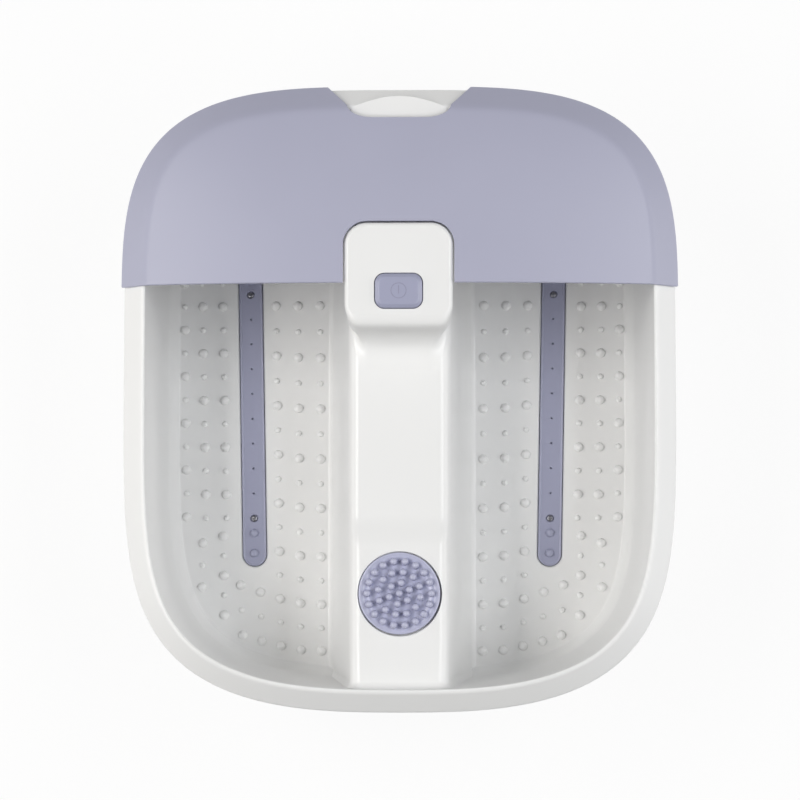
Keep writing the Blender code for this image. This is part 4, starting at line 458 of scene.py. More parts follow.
def combine(target, tool, operation="DIFFERENCE"):
    """Cut or join with another closed mesh, apply it, and remove the tool."""
    modifier = target.modifiers.new("combine", "BOOLEAN")
    modifier.operation = operation
    modifier.solver = "MANIFOLD"
    modifier.object = tool
    graph = bpy.context.evaluated_depsgraph_get()
    mesh = bpy.data.meshes.new_from_object(target.evaluated_get(graph))
    target.modifiers.clear()
    old = target.data
    target.data = mesh
    bpy.data.meshes.remove(old)
    bpy.data.objects.remove(tool, do_unlink=True)


def finish_piece(obj, name, material, body, slot, *nodes, degrees=32):
    """Name and shade a piece, give it its material, and let it ride on its body in place of its
    CAD nodes."""
    obj.name = obj.data.name = name
    obj.data.materials.clear()
    obj.data.materials.append(material)
    obj.data.shade_smooth()
    obj.data.set_sharp_from_angle(angle=math.radians(degrees))
    weighted = obj.modifiers.new("even_shading", "WEIGHTED_NORMAL")
    weighted.keep_sharp = True
    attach(obj, body)
    if nodes:
        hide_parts(*nodes)
    return obj


# Materials
def moulded(name, colour, roughness, grain=900.0, relief=0.04, tint=0.02, mottle=18.0,
            metallic=0.0, coat=0.0):
    """Moulded or worked surface: slow drifts of tone and of gloss, and a fine grain in relief."""
    material = bpy.data.materials.new(name)
    material.use_nodes = True
    nodes, links = material.node_tree.nodes, material.node_tree.links
    shader = nodes["Principled BSDF"]
    shader.inputs["Metallic"].default_value = metallic
    shader.inputs["Coat Weight"].default_value = coat
    shader.inputs["Coat Roughness"].default_value = COAT_ROUGHNESS
    place = nodes.new("ShaderNodeTexCoord")
    slow = nodes.new("ShaderNodeTexNoise")
    slow.inputs["Scale"].default_value = mottle
    slow.inputs["Detail"].default_value = MOTTLE_DETAIL
    links.new(place.outputs["Object"], slow.inputs["Vector"])
    tone = nodes.new("ShaderNodeMix")
    tone.data_type = "RGBA"
    tone.inputs["A"].default_value = (*[c * (1 - tint) for c in colour], 1.0)
    tone.inputs["B"].default_value = (*[min(1.0, c * (1 + tint)) for c in colour], 1.0)
    links.new(slow.outputs["Fac"], tone.inputs["Factor"])
    links.new(tone.outputs["Result"], shader.inputs["Base Color"])
    fine = nodes.new("ShaderNodeTexNoise")
    fine.inputs["Scale"].default_value = grain
    fine.inputs["Detail"].default_value = GRAIN_DETAIL
    links.new(place.outputs["Object"], fine.inputs["Vector"])
    gloss = nodes.new("ShaderNodeMapRange")
    gloss.inputs["To Min"].default_value = roughness * (1 - GLOSS_DRIFT)
    gloss.inputs["To Max"].default_value = roughness * (1 + GLOSS_DRIFT)
    links.new(slow.outputs["Fac"], gloss.inputs["Value"])
    links.new(gloss.outputs["Result"], shader.inputs["Roughness"])
    bump = nodes.new("ShaderNodeBump")
    bump.inputs["Strength"].default_value = relief
    bump.inputs["Distance"].default_value = GRAIN_DEPTH
    links.new(fine.outputs["Fac"], bump.inputs["Height"])
    links.new(bump.outputs["Normal"], shader.inputs["Normal"])
    return material


WHITE = moulded("tub_white_plastic", (0.90, 0.90, 0.895), 0.34, relief=0.03, tint=0.008, coat=0.15)
LILAC = moulded("guard_lilac_plastic", (0.44, 0.445, 0.565), 0.42, grain=1500, relief=0.10)
TRIM = moulded("trim_lilac_plastic", (0.38, 0.39, 0.525), 0.36, grain=1500, relief=0.10,
               tint=0.025, coat=0.15)
DISC_LILAC = moulded("disc_lilac_plastic", (0.50, 0.51, 0.665), 0.33, grain=1500, relief=0.08,
                     coat=0.2)
SYMBOL = moulded("symbol_lilac_plastic", (0.30, 0.30, 0.42), 0.45, grain=1500, relief=0.05)
SCREW_STEEL = moulded("strip_screw_steel", (0.30, 0.30, 0.33), 0.38, metallic=1.0, relief=0.15)
SPRING_STEEL = moulded("button_spring_wire", (0.62, 0.63, 0.65), 0.3, metallic=1.0)
RUBBER = moulded("foot_rubber", (0.12, 0.12, 0.13), 0.8, grain=600, relief=0.2)


# Tub
def eased(share):
    """A share of 0 to 1 that starts and stops softly: 3 s^2 - 2 s^3."""
    share = np.clip(share, 0, 1)
    return share * share * (3 - 2 * share)


def ridge_half(z):
    """Half the ridge's width at a height, on its straight sides."""
    return RIDGE_BASE + (z - FLOOR_Z) / (RIDGE_Z - FLOOR_Z) * (RIDGE_TOP - RIDGE_BASE)


def ridge_top(y):
    """Height of the ridge's top: down from the front wall, level at the disc, and down an eased
    ramp behind it."""
    places = (FRONT_Y + BASIN_INSET, DISC_Y - DISC_RADIUS - WALL, RAMP[0])
    top = np.interp(y, places, (RIDGE_FRONT_Z, PAD_Z, PAD_Z))
    return top + (RIDGE_Z - PAD_Z) * eased((y - RAMP[0]) / (RAMP[1] - RAMP[0]))


def ridge_rings():
    """Sections of the ridge from wall to wall: half width b(z) - r (1 - cos a) at the top edge, and
    b(z) + R (1 - sin a) at the floor, all widened near a wall by F - sqrt(F^2 - (F - s)^2)."""
    front_wall, rear_wall = FRONT_Y + BASIN_INSET, REAR_Y - BASIN_INSET
    length = rear_wall - front_wall
    near_end = np.linspace(-RIDGE_END_SINK, RIDGE_END_FILLET, RIDGE_END_STATIONS)
    middle = np.linspace(RIDGE_END_FILLET, length - RIDGE_END_FILLET, RIDGE_STATIONS)[1:-1]
    stations = np.concatenate((near_end, middle, length - near_end[::-1]))
    from_wall = np.minimum(stations, length - stations)
    reach = RIDGE_END_FILLET - np.clip(from_wall, 0, RIDGE_END_FILLET)
    flare = RIDGE_END_FILLET - np.sqrt(RIDGE_END_FILLET ** 2 - reach ** 2)
    y = front_wall + stations
    top = ridge_top(y) + flare
    bend = quarter(RIDGE_BEND_POINTS)
    low = np.tile(FLOOR_Z + RIDGE_FILLET * (1 - np.cos(bend)) - GAP / 10, (len(y), 1))
    edge = top[:, None] - RIDGE_EDGE * (1 - np.sin(bend))
    side = low[:, -1:] + (edge[:, :1] - low[:, -1:]) * np.linspace(0, 1, RIDGE_SIDE_POINTS)[1:-1]
    z = np.hstack((low, side, edge))
    half = ridge_half(z) + flare[:, None]
    half[:, :len(bend)] += RIDGE_FILLET * (1 - np.sin(bend))
    half[:, -len(bend):] -= RIDGE_EDGE * (1 - np.cos(bend))
    z = np.hstack((np.full((len(y), 1), FLOOR_Z - WALL / 2), z))
    half = np.hstack((half[:, :1], half))
    across = half[:, -1:] * (1 - 2 * np.linspace(0, 1, RIDGE_TOP_POINTS)[1:-1])
    x = np.hstack((half, across, -half[:, ::-1]))
    height = np.hstack((z, np.broadcast_to(z[:, -1:], across.shape), z[:, ::-1]))
    lean = (CREST_Z - height) * (BASIN_FOOT_INSET - BASIN_INSET) / (CREST_Z - FLOOR_Z)
    fade = (1 - eased(from_wall / RIDGE_BLEND))[:, None]
    towards = np.where(stations < length / 2, 1.0, -1.0)[:, None]
    return np.stack((x, y[:, None] + towards * fade * lean, height), -1)


def tunnel_rings():
    """The hollow in the ridge, open below: four corners at each change of the ridge's top."""
    end = BASIN_INSET + 4 * WALL
    y = np.array((FRONT_Y + end, DISC_Y - DISC_RADIUS, *RAMP, REAR_Y - end))
    high = ridge_top(y) - WALL
    low = np.full(len(y), FLOOR_Z - WALL - OVERRUN)
    z = np.stack((low, high, high, low), -1)
    half = ridge_half(z) - WALL
    x = half * np.array((1, 1, -1, -1))
    return np.stack((x, np.broadcast_to(y[:, None], x.shape), z), -1)


def console_outline():
    """The console seen from above, its outward normals, and how far each point faces the front."""
    outline, normal = rounded_box(CONSOLE_HALF, *CONSOLE_Y, *CONSOLE_RADII)
    return outline, normal, np.clip(-normal[:, 1], 0, 1)


def narrowed(flat, z, facing):
    """The console's rings narrowed towards its front foot: x (1 - t n), t eased to 0 over the foot."""
    toe = CONSOLE_TOE * (1 - eased((z[:, None] - RIDGE_Z) / CONSOLE_TOE_HEIGHT))
    flat[..., 0] *= 1 - toe * facing
    return with_height(flat, z)


def console_hollow_rings():
    """The hollow in the console: its outline one wall further in, narrowed as the outside is."""
    outline, normal, facing = console_outline()
    toe = RIDGE_Z + CONSOLE_TOE_HEIGHT * np.linspace(0, 1, CONSOLE_TOE_LEVELS)
    z = np.concatenate(([CONSOLE_ROOT_Z + GAP], toe, [CONSOLE_Z - WALL]))
    return narrowed(np.tile(outline - WALL * normal, (len(z), 1, 1)), z, facing)


def console_rings():
    """The console: a rounded box with a rolled top edge, sqrt(r^2 - d^2) - r, and a front face that
    leans forward by its section times n^4, where n is how far a point faces the front. Its levels
    are at h (1 - cos(pi s)) / 2."""
    outline, normal, facing = console_outline()
    share = np.linspace(0, 1, CONSOLE_LEVELS)
    z = RIDGE_Z + (CONSOLE_Z - RIDGE_Z) * (1 - np.cos(np.pi * share)) / 2
    over = np.clip(z - CONSOLE_Z + CONSOLE_ROLL, 0, CONSOLE_ROLL)
    rolled = np.sqrt(CONSOLE_ROLL ** 2 - over ** 2) - CONSOLE_ROLL
    forward, height = round_corners(CONSOLE_FACE, CONSOLE_FACE_POINTS).T
    forward = np.interp(z, height, forward)
    z[0] -= GAP / 8
    z = np.concatenate(([CONSOLE_ROOT_Z], z))
    rolled = np.concatenate(([0.0], rolled))
    forward = np.concatenate((forward[:1], forward))
    offset = rolled[:, None] + forward[:, None] * facing ** CONSOLE_FACE_POWER
    return narrowed(outline[None] + normal[None] * offset[..., None], z, facing)


def dish_rings():
    """The shallow dish round the button: an ellipse that grows with the square root of its height."""
    height = np.linspace(*DISH_SPREAD, DISH_LEVELS)
    spread = np.sqrt(height)
    ring = circle(DISH_SIDES) * np.array(DISH_HALF)
    flat = ring[None] * spread[:, None, None] + np.array((0, BUTTON_Y))
    return with_height(flat, CONSOLE_Z + DISH_DEPTH * (height - 1))


def nub_places():
    """Places of the large and of the small nubs: y = a + (b - a) s - 4 k s (1 - s) down each column."""
    large, small = [], []
    for x_rear, x_front, y_rear, y_front, sag, count, first_large in NUB_COLUMNS:
        share = np.linspace(0, 1, count)
        places = np.stack((x_rear + (x_front - x_rear) * share,
                           y_rear + (y_front - y_rear) * share - 4 * sag * share * (1 - share)), -1)
        large.append(places[first_large::2])
        small.append(places[1 - first_large::2])
    return np.vstack(large), np.vstack(small)


def nub_rings(radius, height, sides=NUB_SIDES):
    """A nub: r = R s and z = h (1 - s^2)^p as s falls from 1, on a collar that goes down into the
    face that carries it."""
    share = np.array(NUB_SHARES)
    z = height * (1 - share ** 2) ** NUB_STEEPNESS
    z[0] = -NUB_SINK
    return turned(np.stack((radius * share, z), -1), sides)


def finger_pad_rings():
    """The pad in the notch: a chord and the arc y = b sin(pi s), drawn in a little towards its top."""
    share = np.linspace(0, 1, PAD_POINTS)
    roll = quarter(PAD_ROLL_POINTS)
    inset = np.concatenate(([0.0], PAD_ROLL * (1 - np.cos(roll))))
    z = np.concatenate(([CREST_Z - 4 * WALL], PAD_TOP_Z - PAD_ROLL * (1 - np.sin(roll))))
    chord_y = REAR_Y - PAD_CHORD_INSET
    half, bulge = PAD_HALF_LENGTH - 3 * inset, PAD_BULGE - inset
    x = half[:, None] * (1 - 2 * share)
    y = chord_y + bulge[:, None] * np.sin(np.pi * share)
    x = np.hstack((half[:, None], x, -half[:, None]))
    inner = np.full((len(inset), 1), LEDGE_Y[0])
    y = np.hstack((inner, y, inner))
    return np.stack((x, y, np.broadcast_to(z[:, None], x.shape)), -1)


def add_forms(tub):
    """Join the ridge, the console, the finger pad, the disc's cup and the nubs to the shell."""
    combine(tub, solid("ridge", ridge_rings()), "UNION")
    combine(tub, solid("console", console_rings()), "UNION")
    combine(tub, box("ledge", (-LEDGE_HALF_LENGTH, LEDGE_Y[0], LEDGE_Z[0]),
                     (LEDGE_HALF_LENGTH, LEDGE_Y[1], LEDGE_Z[1])), "UNION")
    combine(tub, solid("finger_pad", finger_pad_rings()), "UNION")
    combine(tub, solid("tunnel", tunnel_rings()))
    combine(tub, solid("console_hollow", console_hollow_rings()))
    cup = ((SPIGOT[0] + 2 * WALL, SPIGOT[1] - WALL), (SPIGOT[0] + 2 * WALL, DISC_FLOOR_Z - WALL),
           (DISC_RADIUS + WALL, DISC_FLOOR_Z - WALL), (DISC_RADIUS + WALL, PAD_Z - WALL / 2))
    combine(tub, solid("disc_cup", turned(cup, RING_SIDES, (0, DISC_Y))), "UNION")
    for size, places in zip((LARGE_NUB, SMALL_NUB), nub_places()):
        both = np.vstack((places, places * (-1, 1)))
        raised = np.hstack((both, np.full((len(both), 1), FLOOR_Z)))
        combine(tub, many_solids("nubs", nub_rings(*size), raised), "UNION")


def button_outline():
    """The button seen from above."""
    return rounded_box(BUTTON_HALF[0], BUTTON_Y - BUTTON_HALF[1], BUTTON_Y + BUTTON_HALF[1],
                       BUTTON_RADIUS, BUTTON_RADIUS)


def cut_seats(tub):
    """Cut the seats of the strips, of the disc and of the button, and the dish round the button."""
    for side in (-1, 1):
        combine(tub, solid("strip_seat", strip_rings(STRIP_SEAT_SECTION, side)))
    middle = (SOCKET_SHIFT[0], DISC_Y + SOCKET_SHIFT[1])
    combine(tub, solid("socket", turned(SOCKET_SECTION, DISC_SIDES, middle)))
    radius = SPIGOT[0] + SPIGOT_CLEARANCE
    bore = ((radius, SPIGOT[1] - GAP), (radius, DISC_FLOOR_Z + WALL))
    combine(tub, solid("spigot_bore", turned(bore, BORE_SIDES, (0, DISC_Y))))
    combine(tub, solid("dish", dish_rings()))
    hole = ((-BUTTON_GAP, CONSOLE_Z - 2 * WALL), (-BUTTON_GAP, CONSOLE_Z + OVERRUN))
    combine(tub, solid("button_hole", carried_round(hole, *button_outline())))


def make_tub():
    """The tub: the double-walled shell is one rounded section carried round the rim's outline."""
    tub = solid("tub", carried_round(round_corners(TUB_SECTION), RIM, RIM_NORMAL))
    add_forms(tub)
    cut_seats(tub)
    return finish_piece(tub, "tub_moulding", WHITE, "tub_body", "tub_white", "tub")


# Air strips
def stadium(steps=24):
    """Half-round ended outline along Y, and its outward normals."""
    turn = np.linspace(0, np.pi, steps)
    radius, reach = STRIP_WIDTH / 2, (STRIP_LENGTH - STRIP_WIDTH) / 2
    rear = np.stack((np.cos(turn), np.sin(turn)), -1)
    normal = np.vstack((rear, -rear))
    centre = np.vstack((np.tile((0, reach), (steps, 1)), np.tile((0, -reach), (steps, 1))))
    return centre + normal * radius, normal


def splayed(points, side):
    """Points of a strip's own frame put in their place: turned by the splay, then moved."""
    cosine, sine = math.cos(-side * STRIP_SPLAY), math.sin(-side * STRIP_SPLAY)
    turn = np.array(((cosine, -sine, 0), (sine, cosine, 0), (0, 0, 1)))
    return points @ turn.T + np.array((side * STRIP_X, STRIP_Y, 0))


def strip_rings(section, side):
    """A strip's outline at the (inset, z) of a section."""
    return splayed(carried_round(section, *stadium()), side)


def on_strip(reaches, z, side):
    """Places on a strip's middle line, at distances along it."""
    return splayed(np.array([(0.0, reach, z) for reach in reaches]), side)


def make_strip(side, name):
    """An air strip: a raised edge line, a flat face, pinholes, screw seats and end nubs."""
    strip = solid(name, strip_rings(STRIP_SECTION, side))
    reaches = [end * reach for end in (-1, 1) for reach in STRIP_NUB_REACHES]
    nubs = on_strip(reaches, STRIP_FACE_Z, side)
    combine(strip, many_solids("end_nubs", nub_rings(*STRIP_NUB, STRIP_NUB_SIDES), nubs), "UNION")
    steps = (np.arange(STRIP_HOLES) - (STRIP_HOLES - 1) / 2) * STRIP_HOLE_PITCH
    holes = on_strip(steps, STRIP_FACE_Z, side)
    combine(strip, many_solids("pinholes", turned(PINHOLE_SECTION, NUB_SIDES), holes))
    seats = on_strip((-STRIP_SCREW_REACH, STRIP_SCREW_REACH), STRIP_FACE_Z, side)
    combine(strip, many_solids("screw_seats", turned(SCREW_SEAT_SECTION, STEM_SIDES), seats))
    finish_piece(strip, name + "_plate", TRIM, "tub_body", "trim_lilac", name)
    for end, reach in (("front", -STRIP_SCREW_REACH), ("rear", STRIP_SCREW_REACH)):
        make_strip_screw(name + "_screw_" + end, on_strip((reach,), SCREW_HEAD_Z, side)[0])


def make_strip_screw(name, place):
    """A strip's screw: a turned shank and low head, with a cross recess."""
    x, y, z = place
    section = round_corners(SCREW_SECTION, FINE_CORNER_POINTS) + (0, z)
    screw = solid(name, turned(section, SCREW_SIDES, (x, y)))
    long, short = SCREW_SLOT
    for half_x, half_y in ((long, short), (short, long)):
        low, high = (x - half_x, y - half_y, z + 2 * short), (x + half_x, y + half_y, z + WALL)
        combine(screw, box("slot", low, high))
    finish_piece(screw, name + "_cross_head", SCREW_STEEL, "tub_body", "steel", name)


# Massage disc
def make_disc():
    """The massage disc: a turned plate with a fine ring in its rim band, and pegs with round tips."""
    section = round_corners(DISC_SECTION, DISC_CORNER_POINTS)
    disc = solid("disc", turned(section, DISC_SIDES, (0, DISC_Y)))
    places = []
    for count, share, start in PEG_RINGS:
        turn = np.radians(start) + 2 * np.pi * np.arange(count) / count
        x, y = DISC_RADIUS * share * np.cos(turn), DISC_Y + DISC_RADIUS * share * np.sin(turn)
        places.append(np.stack((x, y, np.full(count, DISC_TOP_Z - PEG_SINK)), -1))
    peg = turned(round_corners(PEG_SECTION, DISC_CORNER_POINTS), PEG_SIDES)
    combine(disc, many_solids("pegs", peg, np.vstack(places)), "UNION")
    spigot = ((SPIGOT[0], SPIGOT[1]), (SPIGOT[0], DISC_FLOOR_Z + WALL / 2))
    combine(disc, solid("spigot", turned(spigot, BORE_SIDES, (0, DISC_Y))), "UNION")
    return finish_piece(disc, "massage_disc_pegged", DISC_LILAC, "disc", "trim_lilac", "massage_disc")


# Button
def make_button():
    """The push button: a rolled edge round a faintly dished face, on its flange and stem."""
    section = round_corners(BUTTON_SECTION, BUTTON_CORNER_POINTS)
    button = solid("button", carried_round(section, *button_outline()))
    combine(button, solid("stem", turned(STEM_SECTION, STEM_SIDES, (0, BUTTON_Y))), "UNION")
    finish_piece(button, "power_button_cap", TRIM, "button", "trim_lilac", "power_button")
    make_symbol()


def make_symbol():
    """The mark on the button: a fine ring, its tube carried round a circle, and a short upright bar."""
    ring, tube = circle(RING_SIDES), circle(WIRE_SIDES) * SYMBOL_LINE
    reach = SYMBOL_RADIUS + tube[None, :, 0]
    z = np.tile(BUTTON_TOP_Z - GAP / 2 + tube[:, 1] / 2, (RING_SIDES, 1))
    points = np.stack((ring[:, None, 0] * reach, BUTTON_Y + ring[:, None, 1] * reach, z), -1)
    faces = quads(RING_SIDES, WIRE_SIDES, wrap_rows=True).tolist()
    symbol = faces_out(new_object("symbol", points, faces))
    finish_piece(symbol, "button_symbol", SYMBOL, "button", "trim_lilac")
    low_y, high_y = BUTTON_Y + SYMBOL_BAR[0], BUTTON_Y + SYMBOL_BAR[1]
    outline = rounded_box(SYMBOL_LINE, low_y, high_y, SYMBOL_LINE, SYMBOL_LINE, FINE_CORNER_POINTS)
    levels = ((0.0, BUTTON_TOP_Z - GAP), (0.0, BUTTON_TOP_Z - GAP / 10),
              (SYMBOL_LINE / 2, BUTTON_TOP_Z))
    bar = solid("bar", carried_round(levels, *outline))
    finish_piece(bar, "button_symbol_bar", SYMBOL, "button", "trim_lilac")


def make_button_spring():
    """The button's spring. Its wire is carried along
    x = R cos(a), y = R sin(a), with z rising evenly with a."""
    low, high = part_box("button_spring")
    angle = np.linspace(0, 2 * np.pi * SPRING_TURNS, round(SPRING_TURNS * SPRING_STEPS))
    wire = circle(WIRE_SIDES) * SPRING_WIRE
    reach = (high.x - low.x) / 2 - SPRING_WIRE + wire[None, :, 0]
    rise = (high.z - low.z - 2 * SPRING_WIRE) * angle / angle[-1]
    points = np.stack((np.cos(angle)[:, None] * reach, BUTTON_Y + np.sin(angle)[:, None] * reach,
                       low.z + SPRING_WIRE + rise[:, None] + wire[None, :, 1]), -1)
    spring = faces_out(new_object("spring", points, solid_faces(*points.shape[:2])))
    finish_piece(spring, "button_spring_coil", SPRING_STEEL, "tub_body", "steel", "button_spring")
    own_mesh(spring)


# Splash guard
def rim_line(inset, lift=0.0):
    """Height of the sloping rim at an inset, lifted square to its surface."""
    return RIM_EDGE_Z + (inset - RIM_EDGE_INSET) * RIM_SLOPE + lift * math.hypot(1, RIM_SLOPE)


def dome_rings(edge_inset, crease_inset, lift):
    """Skirt, crease and dome: z = crease + c (1 - s^e), with the outline scaled by s about the
    middle. The rings at the crease are then softened by their neighbours."""
    skirt = np.linspace(edge_inset, crease_inset, SKIRT_RINGS)[:-1]
    low = carried_round(np.stack((skirt, rim_line(skirt, lift)), -1), RIM, RIM_NORMAL)
    base = RIM - RIM_NORMAL * crease_inset
    outer, bend, inner = DOME_SHARES
    share = np.concatenate((np.linspace(outer, bend, DOME_RINGS[0]),
                            np.linspace(bend, inner, DOME_RINGS[1])[1:]))
    middle = np.array((0, WIDEST_Y))
    flat = middle + (base[None] - middle) * share[:, None, None]
    z = rim_line(crease_inset, lift) + GUARD_CROWN * (1 - share ** CROWN_EXPONENT)
    rings = np.concatenate((low, with_height(flat, z)))
    first, last = CREASE_RINGS
    both_sides = rings[first - 1:last - 1] + rings[first + 1:last + 1]
    rings[first:last] = (both_sides + 2 * rings[first:last]) / 4
    return rings


def guard_height(x, y):
    """Height of the guard's outer face over a point, from its distance to the middle as a share
    of the crease's."""
    base = RIM - RIM_NORMAL * CREASE_INSET - (0, WIDEST_Y)
    angle = np.unwrap(np.arctan2(base[:, 1], base[:, 0]))
    order = np.argsort(angle % (2 * np.pi))
    reach = np.interp(np.arctan2(y - WIDEST_Y, x) % (2 * np.pi), (angle % (2 * np.pi))[order],
                      np.linalg.norm(base, axis=1)[order], period=2 * np.pi)
    distance = np.hypot(x, y - WIDEST_Y)
    crease = rim_line(CREASE_INSET, GAP + GUARD_WALL)
    dome = crease + GUARD_CROWN * (1 - np.minimum(distance / reach, 1) ** CROWN_EXPONENT)
    return np.where(distance <= reach, dome, crease - (distance - reach) * RIM_SLOPE)


def bevel_rings(path, into):
    """A three-sided bar along an edge of the guard that takes the edge off at 45 degrees."""
    z = guard_height(path[:, 0], path[:, 1])
    corners = ((-EDGE_BEVEL, -2 * EDGE_BEVEL), (2 * EDGE_BEVEL, EDGE_BEVEL),
               (-EDGE_BEVEL, EDGE_BEVEL))
    lines = [np.column_stack((path + into * inwards, z + upwards)) for inwards, upwards in corners]
    return np.stack(lines, 1)


def front_edge():
    """The guard's front edge seen from above, with the notch for the console, and which way its
    material lies."""
    outline, normal, _ = console_outline()
    behind = outline[:, 1] > GUARD_FRONT_Y
    notch, into = (outline + normal * NOTCH_GAP)[behind], normal[behind]
    order = np.argsort(-np.arctan2(notch[:, 1] - CONSOLE_Y[0], notch[:, 0]))
    notch, into = notch[order], into[order]
    edge_x = RIM_HALF_WIDTH + 2 * OVERRUN
    left_x = np.linspace(-edge_x, notch[0, 0], EDGE_POINTS)
    left = np.stack((left_x, np.full(EDGE_POINTS, GUARD_FRONT_Y)), -1)
    left_into = np.tile((0.0, 1.0), (EDGE_POINTS, 1))
    left_into[-1] = (-1, 1)
    path = np.vstack((left, notch, left[::-1] * (-1, 1)))
    return path, np.vstack((left_into, into, left_into[::-1] * (-1, 1)))


def grip_outline():
    """The finger notch: rounded at its mouth, straight to the crease, and a quarter of an ellipse
    at each end of its bottom."""
    half_x, across, crease, along = GRIP_BOTTOM
    turn = quarter(GRIP_POINTS)
    edge_y = REAR_Y + GUARD_OVERHANG
    mouth = np.array(GRIP_MOUTH) * (1, -1) + (0, edge_y)
    bottom = np.stack((half_x + across * np.cos(turn), edge_y - crease - along * np.sin(turn)), -1)
    half = np.vstack((mouth, bottom))
    return np.vstack((half, half[::-1] * (-1, 1)))


def make_guard():
    """The splash guard: a domed shell over the rear of the rim, open at the front, console and grip."""
    guard = solid("guard", dome_rings(-GUARD_OVERHANG, CREASE_INSET, GAP + GUARD_WALL))
    combine(guard, solid("guard_hollow", dome_rings(0.0, HOLLOW_CREASE_INSET, GAP)))
    low_z, high_z, far = CREST_Z - CUT_REACH, CREST_Z + CUT_REACH, 2 * RIM_HALF_WIDTH
    combine(guard, box("front_cut", (-far, -far, low_z), (far, GUARD_FRONT_Y, high_z)))
    cut = ((-NOTCH_GAP, low_z), (-NOTCH_GAP, high_z))
    combine(guard, solid("console_cut", carried_round(cut, *console_outline()[:2])))
    grip = np.tile(grip_outline(), (2, 1, 1))
    combine(guard, solid("grip_cut", with_height(grip, np.array((low_z, high_z)))))
    combine(guard, solid("front_bevel", bevel_rings(*front_edge())))
    return finish_piece(guard, "splash_guard_shell", LILAC, "guard", "guard_lilac", "splash_guard")


# Feet
def make_foot(name, place):
    """A rubber foot: a ring to stand on round a shallow hollow, and a plug up into the pan."""
    section = round_corners(FOOT_SECTION, FINE_CORNER_POINTS)
    foot = solid(name, turned(section, BORE_SIDES, place))
    return finish_piece(foot, name + "_turned", RUBBER, "tub_body", "rubber_grey", name)


def dress_cad_nodes():
    """Give each CAD node that still shows a worked material of its own kind."""
    kinds = {
        "grey": moulded("inner_grey_plastic", (0.35, 0.36, 0.38), 0.5),
        "black": moulded("inner_black_plastic", (0.05, 0.05, 0.055), 0.5),
        "steel": moulded("zinced_steel", (0.62, 0.63, 0.65), 0.3, metallic=1.0),
        "iron": moulded("laminated_iron", (0.32, 0.32, 0.34), 0.45, metallic=1.0, relief=0.3),
        "copper": moulded("coil_copper_wire", (0.55, 0.25, 0.12), 0.4, metallic=1.0, relief=0.3),
        "alloy": moulded("heater_plate_alloy", (0.70, 0.70, 0.70), 0.4, metallic=1.0),
        "board": moulded("board_green_lacquer", (0.05, 0.22, 0.10), 0.4),
        "rubber": RUBBER, "white": WHITE, "trim": TRIM, "lilac": LILAC}
    wanted = {"tub": "white", "splash_guard": "lilac", "massage_disc": "trim", "power_button": "trim",
              "air_strip_left": "trim", "air_strip_right": "trim", "capacitor": "trim",
              "button_gasket": "rubber", "cord_gland": "rubber", "air_hose_left": "rubber",
              "air_hose_right": "rubber", "switch_carrier": "grey", "base_pan": "grey",
              "blower_impeller": "grey", "blower_housing": "grey", "blower_cover": "grey",
              "switch_body": "black", "thermostat": "black", "terminal_block": "black",
              "switch_plunger": "white", "motor_core": "iron", "motor_coil": "copper",
              "heater_left": "alloy", "heater_right": "alloy", "control_board": "board"}
    for name, obj in NODES.items():
        kind = wanted.get(name, "rubber" if name.startswith("foot_") else "steel")
        obj.data.materials.clear()
        obj.data.materials.append(kinds[kind])


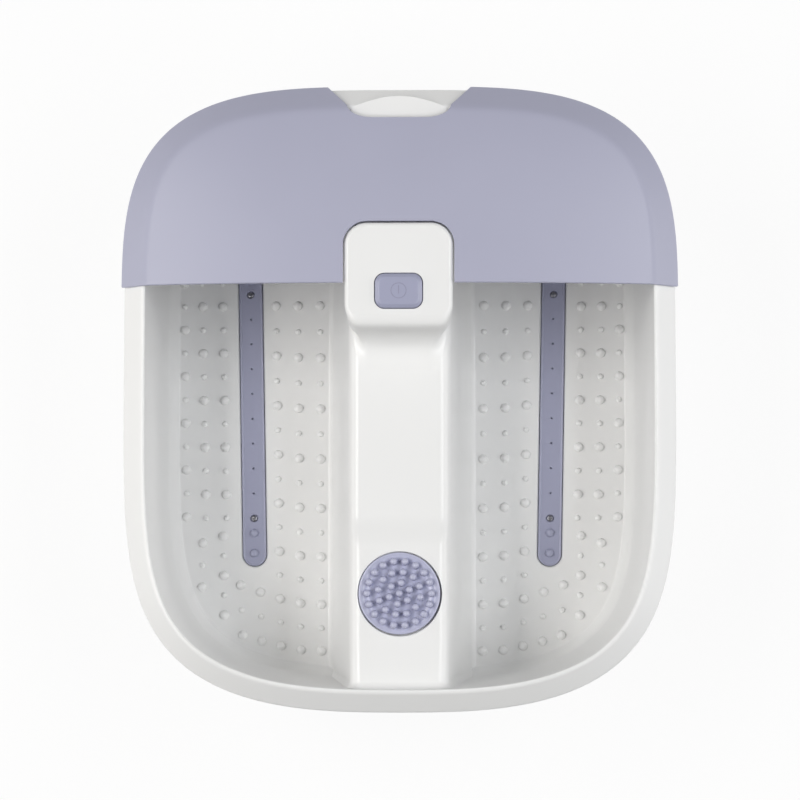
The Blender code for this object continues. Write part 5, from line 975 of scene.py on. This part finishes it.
# Studio
def make_floor():
    """A plain pale floor that camera, glossy and transmission rays see partly as plain white."""
    corners = np.array(((-1, -1, 0), (1, -1, 0), (1, 1, 0), (-1, 1, 0))) * FLOOR_HALF
    floor = new_object("studio_floor", corners, [(0, 1, 2, 3)])
    material = bpy.data.materials.new("studio_floor")
    material.use_nodes = True
    nodes, links = material.node_tree.nodes, material.node_tree.links
    shader = nodes["Principled BSDF"]
    shader.inputs["Base Color"].default_value = (FLOOR_GREY, FLOOR_GREY, FLOOR_GREY, 1)
    shader.inputs["Roughness"].default_value = FLOOR_ROUGHNESS
    glow = nodes.new("ShaderNodeEmission")
    glow.inputs["Color"].default_value = (1, 1, 1, 1)
    path = nodes.new("ShaderNodeLightPath")
    seen = None
    for ray in ("Is Camera Ray", "Is Glossy Ray", "Is Transmission Ray"):
        step = nodes.new("ShaderNodeMath")
        step.operation = "MAXIMUM"
        links.new(path.outputs[ray], step.inputs[0])
        if seen:
            links.new(seen.outputs["Value"], step.inputs[1])
        else:
            step.inputs[1].default_value = 0.0
        seen = step
    share = nodes.new("ShaderNodeMath")
    share.operation = "MULTIPLY"
    share.inputs[1].default_value = FLOOR_GLOW
    links.new(seen.outputs["Value"], share.inputs[0])
    mix = nodes.new("ShaderNodeMixShader")
    links.new(share.outputs["Value"], mix.inputs["Fac"])
    links.new(shader.outputs["BSDF"], mix.inputs[1])
    links.new(glow.outputs["Emission"], mix.inputs[2])
    links.new(mix.outputs["Shader"], nodes["Material Output"].inputs["Surface"])
    floor.data.materials.append(material)


def soft_box(name, place, size, power, colour):
    """A rectangular soft box at a place, facing the bath: its width is level, its height is upright."""
    light = bpy.data.lights.new(name, "AREA")
    light.shape = "RECTANGLE"
    light.size, light.size_y = size
    light.energy = power
    light.color = colour
    obj = bpy.data.objects.new(name, light)
    obj.location = place
    obj.rotation_euler = (Vector((0, 0, FLOOR_Z)) - Vector(place)).to_track_quat("-Z", "Y").to_euler()
    bpy.context.scene.collection.objects.link(obj)


def make_studio():
    """The soft boxes, a pale world, and the photograph's view."""
    for row in SOFT_BOXES:
        soft_box(*row)
    world = bpy.data.worlds.new("studio_world")
    world.use_nodes = True
    backdrop = world.node_tree.nodes["Background"]
    backdrop.inputs["Color"].default_value = (*WORLD_COLOUR, 1)
    backdrop.inputs["Strength"].default_value = WORLD_STRENGTH
    scene = bpy.context.scene
    scene.world = world
    scene.view_settings.view_transform = "Standard"
    camera = bpy.data.cameras.new("photo_view")
    camera.lens = PHOTO_LENS
    camera.sensor_width = SENSOR_WIDTH
    camera.clip_end = CLIP_END
    obj = bpy.data.objects.new("photo_view", camera)
    obj.location = PHOTO_PLACE
    forward = (Vector(PHOTO_TARGET) - obj.location).normalized()
    right = forward.cross(Vector((0, 1, 0))).normalized()
    up = right.cross(forward)
    obj.rotation_euler = Matrix((right, up, -forward)).transposed().to_euler()
    scene.collection.objects.link(obj)
    scene.camera = obj


dress_cad_nodes()
make_tub()
make_strip(-1, "air_strip_left")
make_strip(1, "air_strip_right")
make_disc()
make_button()
make_button_spring()
make_guard()
for foot_name, foot_place in FOOT_PLACES.items():
    make_foot(foot_name, foot_place)
make_floor()
make_studio()
